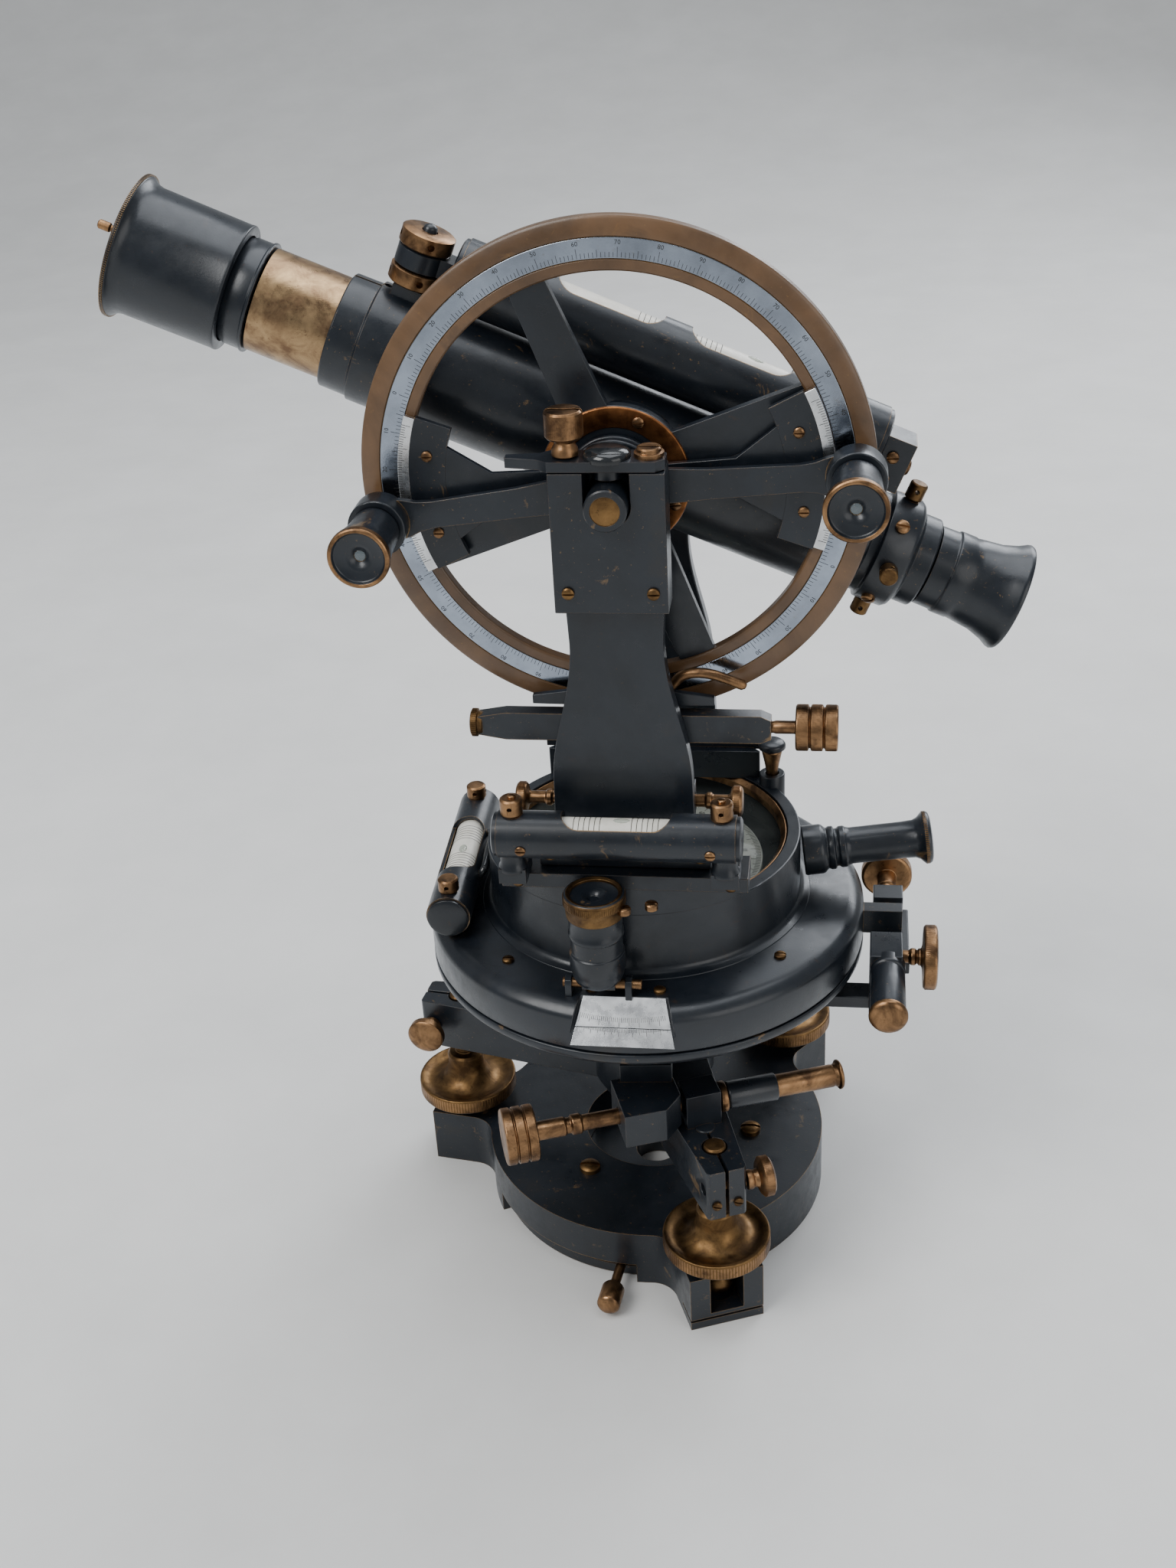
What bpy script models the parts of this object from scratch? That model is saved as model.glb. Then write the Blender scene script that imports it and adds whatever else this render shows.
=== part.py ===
"""A transit theodolite with a five-inch vertical circle, for Blender 4.5.

Metres, +Z up. The origin is on the vertical axis, on the surface that the base stands on. The
trunnion axis runs along Y, the vertical circle is on the -Y side, and the objective looks to -X.
Sizes below are millimetres and become metres in the helpers.
"""

from math import asin, atan2, cos, degrees, pi, radians, sin, sqrt

import bmesh
import bpy
from mathutils import Matrix, Vector

MM = 0.001
GAP = 0.3                 # between neighbours that touch on the real instrument
RUN = 0.4                 # running clearance round a piece that turns or slides
PLUNGE = 1.0              # how far a cutter runs past the wall it cuts
BITE = 0.6                # how far joined shapes sink into each other
STEP = 0.12               # keeps the faces of joined plates off one plane
FINENESS = 0.5            # share of the sides asked for that round shapes get

# Base and tripod lock
BASE_R, BASE_H = 57.2, 20.5
EAR_REACH, EAR_HALF_WIDTH, EAR_FILLET = 78.0, 12.0, 9.0
BASE_HOLE_R = 24.0
RECESS_R, RECESS_H = 54.6, 8.4
LOCK_RING_BORE = 7.0
LOCK_SLOT_FROM, LOCK_SLOT_TO = -152.0, -91.0
LOCK_KNOB_ANGLE, LOCK_KNOB_REACH, LOCK_KNOB_R, LOCK_SHANK_R = -96.5, 75.0, 3.7, 1.6

# Foot screws
FOOT_ANGLES = {"front": -67.8, "rear": 52.2, "left": 172.2}
FOOT_PCD_R = 68.2
FOOT_DISC_R, FOOT_DISC_Z, FOOT_DISC_H = 16.9, 24.6, 5.6
FOOT_BALL_R, FOOT_BALL_Z = 5.0, 10.0
FOOT_SHANK_R = 3.6

# Tribrach
ARM_TOP, ARM_BOTTOM = 64.0, 46.0
ARM_REACH, ARM_TIP_WIDTH, ARM_ROOT_WIDTH = 80.3, 12.4, 25.0
HUB_R = 20.5
AXIS_BORE_R = 12.0
SLIT = 1.0

# Plates and drum
PLATE_R, PLATE_Z, PLATE_H = 69.5, 96.0, 6.0
LIMB_R, LIMB_WIDTH, LIMB_H = 67.6, 6.5, 2.4
COVER_R, COVER_TOP, COVER_BEVEL = 69.4, 117.0, 4.4
WINDOW_HALF, WINDOW_SLOPE, WINDOW_FROM = 13.0, 50.0, 60.4
DRUM_R, DRUM_TOP, DRUM_FLOOR, DRUM_WALL = 49.3, 139.0, 125.0, 4.0
DIAL_R = 37.5
BEZEL_R, BEZEL_WIDTH = 45.2, 3.0
SEAT_TOP, SEAT_CHORD, SEAT_HALF = 148.0, 34.0, 35.0
LEDGE_H = 4.2

# Standards and trunnion
TRUNNION_Z = 264.7
NECK_FRONT, NECK_BACK = 42.5, 37.2
BLOCK_FRONT, BLOCK_HALF, BLOCK_BOTTOM, BLOCK_TOP = 48.0, 15.4, 234.0, 273.4
NECK_TOP_HALF, NECK_FOOT_HALF = 13.0, 20.0
PIVOT_R, PIVOT_END = 5.8, 52.3

# Vertical circle
CIRCLE_R, CIRCLE_INNER, CIRCLE_FRONT, CIRCLE_T = 70.0, 56.0, 29.0, 4.0
SILVER_INNER = 59.3
SPOKE_WIDTH, SPOKE_T = 11.5, 3.0
HUB_RING_R = 20.5

# Layers in front of the circle, from its face to the standard, as distances in front of the axis
VERNIER_LAYER = (29.5, 31.6)
CLAMP_LAYER = (32.0, 34.2)
MAGNIFIER_LAYER = (34.6, 36.9)
VERNIER_LEAN, VERNIER_SPREAD = 3.5, 23.0

MAGNIFIER_LEAN, MAGNIFIER_REACH = 5.8, 64.5
TAIL_HALF, CLIP_DROP = 4.0, 98.0

# Telescope, measured along its own axis from the trunnion, plus to the eyepiece
TILT = 23.0
BARREL_R, BARREL_FRONT, BARREL_REAR, COLLAR_FRONT = 17.2, -79.0, 66.0, -87.0
FOCUS_AT = -45.0
DRAW_R, DRAW_FRONT = 14.6, -109.5
CAP_R, CAP_LIP_R, CAP_FRONT, CAP_REAR = 17.8, 20.3, -149.3, -117.0
EYE_END = 118.5
TAB_AT, TAB_R = (-11.5, 7.0), 1.3

# Spirit levels
PLATE_LEVEL_R, PLATE_LEVEL_HALF = 6.9, 35.5
TOP_LEVEL_R, TOP_LEVEL_UP = 9.8, 28.0
TOP_LEVEL_FRONT, TOP_LEVEL_REAR = -60.6, 65.0
TOP_LEVEL_WINDOWS = ((-34.0, -3.0), (5.0, 35.0))
LUG_HALF, NUT_R, NUT_H = 2.7, 7.5, 4.6
LEVEL_STUD = -70.8

# Readers
READER_X, READER_Y, READER_TOP = -7.5, -59.2, 152.5
LIFTER_AT, LIFTER_BOSS_R = (39.0, 31.2), 4.2

# Tangent screws
KNOB_R, KNOB_L = 6.6, 12.0
LOWER_TANGENT_Z, LOWER_TANGENT_R, LOWER_TANGENT_TURN = 70.5, 53.7, 20.5
UPPER_TANGENT_X, UPPER_TANGENT_Z = 77.0, 104.5
BAR_Z, BAR_HALF, BAR_RISE, BAR_NOSE, BAR_CAP_R = 193.5, 42.0, 4.3, 2.9, 4.1

BLACK = (0.018, 0.024, 0.028, 1.0)
BRASS = (0.42, 0.22, 0.09, 1.0)
SILVER = (0.62, 0.64, 0.66, 1.0)
GLASS = (0.75, 0.80, 0.80, 1.0)
WHITE = (0.75, 0.74, 0.68, 1.0)

for old in list(bpy.data.objects):
    bpy.data.objects.remove(old)
PARTS = bpy.data.collections.new("theodolite")
HELPERS = bpy.data.collections.new("cutters")
bpy.context.scene.collection.children.link(PARTS)
bpy.context.scene.collection.children.link(HELPERS)
HELPERS.hide_render = True


# ---------------------------------------------------------------- helpers

def material(name, colour, metallic, roughness):
    made = bpy.data.materials.new(name)
    made.use_nodes = True
    shader = made.node_tree.nodes["Principled BSDF"]
    shader.inputs["Base Color"].default_value = colour
    shader.inputs["Metallic"].default_value = metallic
    shader.inputs["Roughness"].default_value = roughness
    made.diffuse_color = colour
    return made


FINISHES = {
    "lacquer": (BLACK, 0.4, 0.38),
    "brass": (BRASS, 1.0, 0.35),
    "silver": (SILVER, 1.0, 0.28),
    "glass": (GLASS, 0.0, 0.06),
    "enamel": (WHITE, 0.0, 0.5),
}


def place(shape, parent):
    if parent is not None:
        shape.parent = parent
    return shape


def part(shape, name, finish):
    """Turn a helper into a named piece of the instrument with its own material."""
    shape.name = name
    shape.data.name = name
    HELPERS.objects.unlink(shape)
    PARTS.objects.link(shape)
    shape.hide_render = False
    shape.display_type = "TEXTURED"
    shape.data.materials.clear()
    shape.data.materials.append(material(name, *FINISHES[finish]))
    shape.data.shade_smooth()
    shape.data.set_sharp_from_angle(angle=radians(35))
    return shape


def helper(mesh, parent=None, matrix=None):
    """A shape that another piece is joined to or cut by. part() makes it a piece."""
    shape = bpy.data.objects.new("tool", mesh)
    HELPERS.objects.link(shape)
    shape.hide_render = True
    shape.display_type = "WIRE"
    if matrix is not None:
        shape.matrix_basis = matrix
    return place(shape, parent)


def frame(name, location, rotation=(0, 0, 0)):
    """An empty that pieces are parented to."""
    empty = bpy.data.objects.new(name, None)
    empty.location = Vector(location) * MM
    empty.rotation_euler = [radians(angle) for angle in rotation]
    PARTS.objects.link(empty)
    return empty


def along(point, direction):
    """The matrix that turns Z to a direction at a point, in millimetres."""
    turn = Vector((0, 0, 1)).rotation_difference(Vector(direction)).to_matrix().to_4x4()
    return Matrix.Translation(Vector(point) * MM) @ turn


def box(low, high, parent=None, turn=0.0):
    """A block between two corners, turned about Z afterwards."""
    low, high = Vector(low), Vector(high)
    bm = bmesh.new()
    bmesh.ops.create_cube(bm, size=1.0)
    bmesh.ops.scale(bm, vec=(high - low) * MM, verts=bm.verts)
    bmesh.ops.translate(bm, vec=(high + low) * MM / 2, verts=bm.verts)
    mesh = bpy.data.meshes.new("box")
    bm.to_mesh(mesh)
    bm.free()
    return helper(mesh, parent, Matrix.Rotation(radians(turn), 4, "Z"))


def facets(sides):
    """A multiple of four, so that a round shape reaches its full size across both ways."""
    return max(12, 4 * round(sides * FINENESS / 4))


def rod(start, end, radius, end_radius=None, sides=24, parent=None):
    """A round bar, or a cone, between two points."""
    start, end = Vector(start), Vector(end)
    bm = bmesh.new()
    bmesh.ops.create_cone(bm, cap_ends=True, segments=facets(sides), radius1=radius * MM,
                          radius2=(radius if end_radius is None else end_radius) * MM,
                          depth=(end - start).length * MM)
    mesh = bpy.data.meshes.new("rod")
    bm.to_mesh(mesh)
    bm.free()
    return helper(mesh, parent, along((start + end) / 2, end - start))


def turned(profile, at=(0, 0, 0), axis=(0, 0, 1), sides=32, parent=None, closed=False):
    """A profile of (radius, height) turned about an axis, its outer side running top to bottom."""
    mesh = bpy.data.meshes.new("turned")
    points = [(r * MM, 0, z * MM) for r, z in profile]
    edges = [(i, i + 1) for i in range(len(points) - 1)]
    if closed:
        edges.append((len(points) - 1, 0))
    mesh.from_pydata(points, edges, [])
    shape = helper(mesh, parent, along(at, axis))
    screw = shape.modifiers.new("Screw", "SCREW")
    screw.steps = screw.render_steps = facets(sides)
    screw.use_merge_vertices = True
    screw.merge_threshold = 1e-6
    bake(shape)
    return shape


def ring(outer, inner, bottom, top, at=(0, 0, 0), axis=(0, 0, 1), sides=32, parent=None):
    """A plain ring or tube."""
    profile = [(outer, top), (outer, bottom), (inner, bottom), (inner, top)]
    return turned(profile, at, axis, sides, parent, closed=True)


def slab(outline, bottom, top, parent=None, matrix=None):
    """A flat outline of (x, y) points, filled and extruded between two heights."""
    curve = bpy.data.curves.new("slab", "CURVE")
    curve.dimensions = "2D"
    curve.fill_mode = "BOTH"
    curve.extrude = (top - bottom) * MM / 2
    spline = curve.splines.new("POLY")
    spline.points.add(len(outline) - 1)
    for point, (x, y) in zip(spline.points, outline):
        point.co = (x * MM, y * MM, 0, 1)
    spline.use_cyclic_u = True
    shape = bpy.data.objects.new("slab", curve)
    HELPERS.objects.link(shape)
    mesh = meshed(shape)
    lift = Matrix.Translation((0, 0, (top + bottom) * MM / 2))
    mesh.transform(lift)
    return helper(mesh, parent, matrix)


def bent_rod(points, radius, parent=None):
    """A round wire through a few points, bent smoothly between them."""
    curve = bpy.data.curves.new("wire", "CURVE")
    curve.dimensions = "3D"
    curve.bevel_depth = radius * MM
    curve.bevel_resolution = 3
    curve.use_fill_caps = True
    curve.resolution_u = 5
    spline = curve.splines.new("BEZIER")
    spline.bezier_points.add(len(points) - 1)
    for knot, point in zip(spline.bezier_points, points):
        knot.co = Vector(point) * MM
        knot.handle_left_type = knot.handle_right_type = "AUTO"
    shape = bpy.data.objects.new("wire", curve)
    HELPERS.objects.link(shape)
    return helper(meshed(shape), parent)


def meshed(shape):
    """The evaluated mesh of a curve, its caps welded, the curve removed."""
    bpy.context.view_layer.update()
    graph = bpy.context.evaluated_depsgraph_get()
    mesh = bpy.data.meshes.new_from_object(shape.evaluated_get(graph))
    bm = bmesh.new()
    bm.from_mesh(mesh)
    bmesh.ops.remove_doubles(bm, verts=bm.verts, dist=1e-6)
    bmesh.ops.recalc_face_normals(bm, faces=bm.faces)
    bm.to_mesh(mesh)
    bm.free()
    bpy.data.objects.remove(shape)
    return mesh


def bake(shape):
    """Replace the mesh by its evaluated one, so that later steps start from a plain mesh."""
    bpy.context.view_layer.update()
    graph = bpy.context.evaluated_depsgraph_get()
    mesh = bpy.data.meshes.new_from_object(shape.evaluated_get(graph))
    shape.modifiers.clear()
    shape.data = mesh


def combine(target, operation, tools):
    for tool in tools:
        step = target.modifiers.new(operation.title(), "BOOLEAN")
        step.operation = operation
        step.object = tool
        step.solver = "EXACT"
    return target


def join(target, *tools):
    return combine(target, "UNION", tools)


def cut(target, *tools):
    return combine(target, "DIFFERENCE", tools)


def polar(radius, angle):
    return radius * cos(radians(angle)), radius * sin(radians(angle))


def arc(radius, start, end, steps, centre=(0, 0)):
    """Points along an arc, angles in degrees."""
    return [tuple(c + p for c, p in zip(centre, polar(radius, start + (end - start) * i / steps)))
            for i in range(steps + 1)]


def sector(outer, inner, start, end, steps=12):
    """The outline of a piece of a flat ring."""
    return arc(outer, start, end, steps) + arc(inner, end, start, steps)


# ---------------------------------------------------------------- base

def base_outline():
    """A disc with three square ears, each joined to it by a pair of concave fillets."""
    reach = sqrt((BASE_R + EAR_FILLET) ** 2 - (EAR_HALF_WIDTH + EAR_FILLET) ** 2)
    spread = degrees(atan2(EAR_HALF_WIDTH + EAR_FILLET, reach))
    angles = sorted(FOOT_ANGLES.values())
    outline = []
    for index, angle in enumerate(angles):
        following = angles[(index + 1) % 3] + (360 if index == 2 else 0)
        turn = Matrix.Rotation(radians(angle), 2)
        ear = [(EAR_REACH, -EAR_HALF_WIDTH), (EAR_REACH, EAR_HALF_WIDTH)]
        before = arc(EAR_FILLET, 180 - spread, 90, 5, (reach, -EAR_HALF_WIDTH - EAR_FILLET))
        after = arc(EAR_FILLET, 270, 180 + spread, 5, (reach, EAR_HALF_WIDTH + EAR_FILLET))
        outline += [tuple(turn @ Vector(point)) for point in before + ear + after]
        outline += arc(BASE_R, angle + spread, following - spread, 14)[1:-1]
    return outline


def make_base():
    plate = slab(base_outline(), 0, BASE_H)
    hole = rod((0, 0, -PLUNGE), (0, 0, BASE_H + PLUNGE), BASE_HOLE_R, sides=40)
    recess = rod((0, 0, -PLUNGE), (0, 0, RECESS_H), RECESS_R, sides=64)
    slot = slab(sector(BASE_R + 3, RECESS_R - 3, LOCK_SLOT_FROM, LOCK_SLOT_TO), -PLUNGE, RECESS_H - 1)
    cut(plate, hole, recess, slot)
    for angle in FOOT_ANGLES.values():
        x, y = polar(FOOT_PCD_R, angle)
        bore = rod((x, y, FOOT_BALL_Z - FOOT_BALL_R), (x, y, BASE_H + PLUNGE), FOOT_BALL_R + RUN, sides=24)
        mouth = box((FOOT_PCD_R, -FOOT_BALL_R - RUN, FOOT_BALL_Z - FOOT_BALL_R + 0.4),
                    (EAR_REACH + PLUNGE, FOOT_BALL_R + RUN, BASE_H + PLUNGE), turn=angle)
        split = box((EAR_REACH - 9, -EAR_HALF_WIDTH - PLUNGE, 3.0),
                    (EAR_REACH + PLUNGE, EAR_HALF_WIDTH + PLUNGE, 3.8), turn=angle)
        cut(plate, bore, mouth, split)
    part(plate, "base_plate", "lacquer")


def make_lock():
    """The ring that locks the base to its tripod head, and the knob that turns it in the slot."""
    lock = turned([(LOCK_RING_BORE, RECESS_H - RUN), (RECESS_R - 2.4, RECESS_H - RUN),
                   (RECESS_R - 2.4, 4.0),
                   (RECESS_R - RUN, 4.0), (RECESS_R - RUN, 0.4), (LOCK_RING_BORE, 0.4)], sides=64,
                   closed=True)
    root, grip, end = (polar(r, LOCK_KNOB_ANGLE) for r in (RECESS_R - 6, LOCK_KNOB_REACH - 10,
                                                           LOCK_KNOB_REACH))
    height = (RECESS_H + 2.4) / 2
    cut(lock, rod((*root, height), (*grip, height), LOCK_SHANK_R + GAP, sides=16))
    part(lock, "lock_ring", "lacquer")
    knob = rod((*grip, height), (*end, height), LOCK_KNOB_R, sides=24)
    join(knob, rod((*polar(RECESS_R - 5.5, LOCK_KNOB_ANGLE), height), (*end, height), LOCK_SHANK_R,
                   sides=16))
    part(knob, "lock_knob", "brass")


def make_foot_screw(name, angle):
    """One turned piece: ball, shank, dished disc, boss and threaded shank."""
    x, y = polar(FOOT_PCD_R, angle)
    top = FOOT_DISC_Z + FOOT_DISC_H
    ball = [(FOOT_BALL_R * cos(radians(a)), FOOT_BALL_Z + FOOT_BALL_R * sin(radians(a)))
            for a in (38, 0, -38)]
    profile = [(0, ARM_TOP + 0.8), (FOOT_SHANK_R - 0.6, ARM_TOP + 0.8), (FOOT_SHANK_R, ARM_TOP + 0.2),
               (FOOT_SHANK_R, 41.0), (6.2, 40.0), (6.2, 34.5), (8.0, 31.0), (10.5, 28.6),
               (FOOT_DISC_R - 3.0, 28.4), (FOOT_DISC_R - 0.9, top), (FOOT_DISC_R, top - 0.5),
               (FOOT_DISC_R, FOOT_DISC_Z + 1), (FOOT_DISC_R - 1.2, FOOT_DISC_Z),
               (6.0, FOOT_DISC_Z - 0.8), (FOOT_SHANK_R, FOOT_DISC_Z - 3.0),
               (FOOT_SHANK_R, FOOT_BALL_Z + 4.5)] + ball + [(0, FOOT_BALL_Z - 3.6)]
    part(turned(profile, (x, y, 0), sides=32), f"foot_screw_{name}", "brass")


def make_tribrach():
    hub = turned([(0, ARM_TOP + 8), (HUB_R - 5, ARM_TOP + 8), (HUB_R - 5, ARM_TOP + 2), (HUB_R, ARM_TOP),
                  (HUB_R, ARM_BOTTOM - 2), (HUB_R - 6, ARM_BOTTOM - 14), (HUB_R - 8, ARM_BOTTOM - 20),
                  (0, ARM_BOTTOM - 20)], sides=40)
    for angle in FOOT_ANGLES.values():
        outline = [(5, -ARM_ROOT_WIDTH / 2), (ARM_REACH, -ARM_TIP_WIDTH / 2),
                   (ARM_REACH, ARM_TIP_WIDTH / 2), (5, ARM_ROOT_WIDTH / 2)]
        join(hub, slab(outline, ARM_BOTTOM, ARM_TOP, matrix=Matrix.Rotation(radians(angle), 4, "Z")))
    lug_turn = FOOT_ANGLES["front"]
    join(hub, box((LOWER_TANGENT_R - 5, -5.6, ARM_TOP - BITE), (LOWER_TANGENT_R + 4.6, 5.6, 76.0),
                  turn=lug_turn))
    for angle in FOOT_ANGLES.values():
        x, y = polar(FOOT_PCD_R, angle)
        bore = rod((x, y, ARM_BOTTOM - PLUNGE), (x, y, ARM_TOP + PLUNGE), FOOT_SHANK_R + GAP, sides=20)
        slit = box((FOOT_PCD_R - 7, -SLIT / 2, ARM_BOTTOM - PLUNGE),
                   (ARM_REACH + PLUNGE, SLIT / 2, ARM_TOP + PLUNGE), turn=angle)
        cross = rod((0, -12, 55.5), (0, 12, 55.5), 1.7 + GAP, sides=16)
        cross.matrix_basis = (Matrix.Rotation(radians(angle), 4, "Z")
                              @ along((FOOT_PCD_R + 8.2, 0, 55.5), (0, 1, 0)))
        cut(hub, bore, slit, cross)
    cut(hub, rod((0, 0, ARM_BOTTOM - 8), (0, 0, ARM_TOP + 20), AXIS_BORE_R + RUN, sides=32))
    line = tangent_line()
    cut(hub, rod(line(-8), line(8), 3.2 + GAP, sides=16))
    part(hub, "tribrach", "lacquer")


def make_arm_clamp(name, angle):
    """The thumbscrew that closes the split end of an arm on its foot screw."""
    turn = Matrix.Rotation(radians(angle), 4, "Z")
    side = ARM_TIP_WIDTH / 2 + 0.1
    profile = [(0, side + 9.6), (5.4, side + 9.6), (6.3, side + 8.6), (6.3, side + 5.6), (5.2, side + 5.0),
               (2.8, side + 4.6), (2.8, side + GAP + 0.5), (1.7, side + GAP + 0.5), (1.7, -side + 1.5),
               (0, -side + 1.5)]
    x, y = polar(FOOT_PCD_R + 8.2, angle)
    across = turn.to_3x3() @ Vector((0, 1, 0))
    part(turned(profile, (x, y, 55.5), across, sides=20), f"arm_clamp_{name}", "brass")


def tangent_line():
    """A function that gives the point at a distance along the lower tangent screw's axis."""
    foot = Vector((*polar(LOWER_TANGENT_R, FOOT_ANGLES["front"]), LOWER_TANGENT_Z))
    way = Vector((*polar(1, LOWER_TANGENT_TURN), 0))
    return lambda distance: tuple(foot + way * distance)


def make_lower_clamp():
    """The collar on the vertical axis, its arm and the block that the tangent screw runs in."""
    collar = ring(18.5, AXIS_BORE_R + RUN, 75.0, 86.0, sides=40)
    line = tangent_line()
    centre = Vector(line(-17))
    reach = Vector((centre.x, centre.y)).length
    turn = degrees(atan2(centre.y, centre.x))
    join(collar, box((15, -8, 76.5), (reach - 5, 8, 84.0), turn=turn))
    outline = [(-9, -10), (4, -10), (10, -4), (10, 5), (5, 9), (-9, 9)]
    block = slab(outline, 65.8, 77.6, matrix=Matrix.Translation(Vector((centre.x, centre.y, 0)) * MM)
                 @ Matrix.Rotation(radians(LOWER_TANGENT_TURN), 4, "Z"))
    join(collar, block)
    cut(collar, rod(line(-32), line(-2), 2.5 + GAP, sides=16))
    part(collar, "lower_clamp", "lacquer")
    way = Vector((*polar(1, LOWER_TANGENT_TURN), 0))
    screw = turned([(0, 0), (KNOB_R + 2, 0), (KNOB_R + 2, -2.6), (KNOB_R + 1.5, -3.1), (KNOB_R + 2, -3.6),
                    (KNOB_R + 2, -6.4), (KNOB_R + 1.5, -6.9), (KNOB_R + 2, -7.4), (KNOB_R + 2, -10),
                    (2.9, -10), (2.9, -19), (2.5, -19.5), (2.5, -45.8), (0, -45.8)],
                   line(-52), -way, sides=32)
    part(screw, "lower_tangent_screw", "brass")
    sleeve = turned([(0, 46), (4.8, 46), (4.8, 44.5), (3.4, 44), (3.4, 24), (3.2, 24), (3.2, -4.5),
                     (0, -4.5)], line(0), way, sides=20)
    join(sleeve, rod(line(6.0), line(8.2), 5.0, sides=20))
    part(sleeve, "spring_plunger", "brass")


# ---------------------------------------------------------------- plates and drum

def make_lower_plate():
    axis = turned([(0, PLATE_Z + 3), (14, PLATE_Z + 3), (14, PLATE_Z - 6), (AXIS_BORE_R, PLATE_Z - 7),
                   (AXIS_BORE_R, 60), (9.5, 42), (0, 42)], sides=32)
    bore = rod((0, 0, 52), (0, 0, PLATE_Z + 9), 7.0, sides=24)
    plate = turned([(14, PLATE_Z + PLATE_H - 1.5), (PLATE_R - 7.5, PLATE_Z + PLATE_H - 1.5),
                    (PLATE_R - 7.5, PLATE_Z + PLATE_H), (PLATE_R, PLATE_Z + PLATE_H),
                    (PLATE_R, PLATE_Z + PLATE_H - 2.4), (PLATE_R - 3, PLATE_Z), (30, PLATE_Z - 3),
                    (13, PLATE_Z - 5)], sides=64, closed=True)
    join(axis, plate)
    cut(axis, bore)
    part(axis, "lower_plate", "lacquer")


def seat_outline(side):
    """The raised part of the drum wall that a standard stands on."""
    half = degrees(asin(SEAT_HALF / DRUM_R))
    wall = arc(DRUM_R, -90 - half, -90 + half, 14)
    points = wall + [(SEAT_HALF - 0.3, -SEAT_CHORD), (-SEAT_HALF + 0.3, -SEAT_CHORD)]
    return [(x * side, y * side) for x, y in points]


def make_cover():
    """The upper plate: a flat shell over the limb, with the compass drum on top."""
    under = PLATE_Z + PLATE_H + GAP + LIMB_H + GAP
    skirt = PLATE_Z + PLATE_H + RUN
    cover = turned([(10, COVER_TOP), (COVER_R - COVER_BEVEL, COVER_TOP), (COVER_R, COVER_TOP - 3.2),
                    (COVER_R, skirt), (LIMB_R + GAP, skirt), (LIMB_R + GAP, under), (10, under)],
                   sides=72, closed=True)
    drum = turned([(DRUM_R, DRUM_TOP), (DRUM_R, COVER_TOP + 2), (DRUM_R + 2.6, COVER_TOP + 0.6),
                   (DRUM_R + 3.0, COVER_TOP - 1.1), (10, COVER_TOP - 1.1), (10, DRUM_FLOOR),
                   (DRUM_R - DRUM_WALL, DRUM_FLOOR), (DRUM_R - DRUM_WALL, DRUM_TOP)], sides=80, closed=True)
    join(cover, drum)
    for side in (1, -1):
        seat = slab(seat_outline(side), DRUM_TOP - BITE, SEAT_TOP)
        ledge = box((-SEAT_HALF - 1, -DRUM_R - 0.7, SEAT_TOP - BITE),
                    (SEAT_HALF + 1, -SEAT_CHORD - 3, SEAT_TOP + LEDGE_H), turn=0 if side > 0 else 180)
        join(cover, seat, ledge)
    opening = [(-WINDOW_HALF, 0), (-WINDOW_HALF - 4, -18), (WINDOW_HALF + 4, -18), (WINDOW_HALF, 0)]
    lean = (Matrix.Translation(Vector((0, -WINDOW_FROM, COVER_TOP)) * MM)
            @ Matrix.Rotation(radians(WINDOW_SLOPE), 4, "X"))
    window = slab(opening, 0, 14, matrix=lean)
    far = slab(opening, 0, 14, matrix=Matrix.Rotation(pi, 4, "Z") @ lean)
    pin_z = READER_TOP - 32
    for x in (READER_X - 9.9, READER_X + 7.9):
        join(cover, box((x, READER_Y - 2.6, COVER_TOP - BITE), (x + 2.0, READER_Y + 2.6, pin_z + 2.6)))
        cut(cover, rod((x - PLUNGE, READER_Y, pin_z), (x + 2 + PLUNGE, READER_Y, pin_z), 1.5 + GAP,
                       sides=12))
    lug = box((COVER_R - 4, -2.6, COVER_TOP - 14), (81.6, 2.6, COVER_TOP - 5.6))
    boss = rod((*LIFTER_AT, COVER_TOP - BITE), (*LIFTER_AT, DRUM_TOP + 3.0), LIFTER_BOSS_R, sides=20)
    well = rod((*LIFTER_AT, DRUM_TOP - 2), (*LIFTER_AT, DRUM_TOP + 5), 1.9 + GAP, sides=16)
    join(cover, lug, boss)
    cut(cover, window, far, well)
    part(cover, "upper_plate", "lacquer")
    floor = DRUM_FLOOR
    spindle = turned([(0, floor + 5.6), (0.4, floor + 5.0), (1.0, floor + 3.0), (3, floor + 1.5),
                      (3, floor + 0.4),
                      (9.6, floor + 0.4), (9.6, under - 1), (6.6, under - 2),
                      (6.6, 62), (4.6, 56), (0, 56)], sides=24)
    part(spindle, "upper_spindle", "brass")


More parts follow.
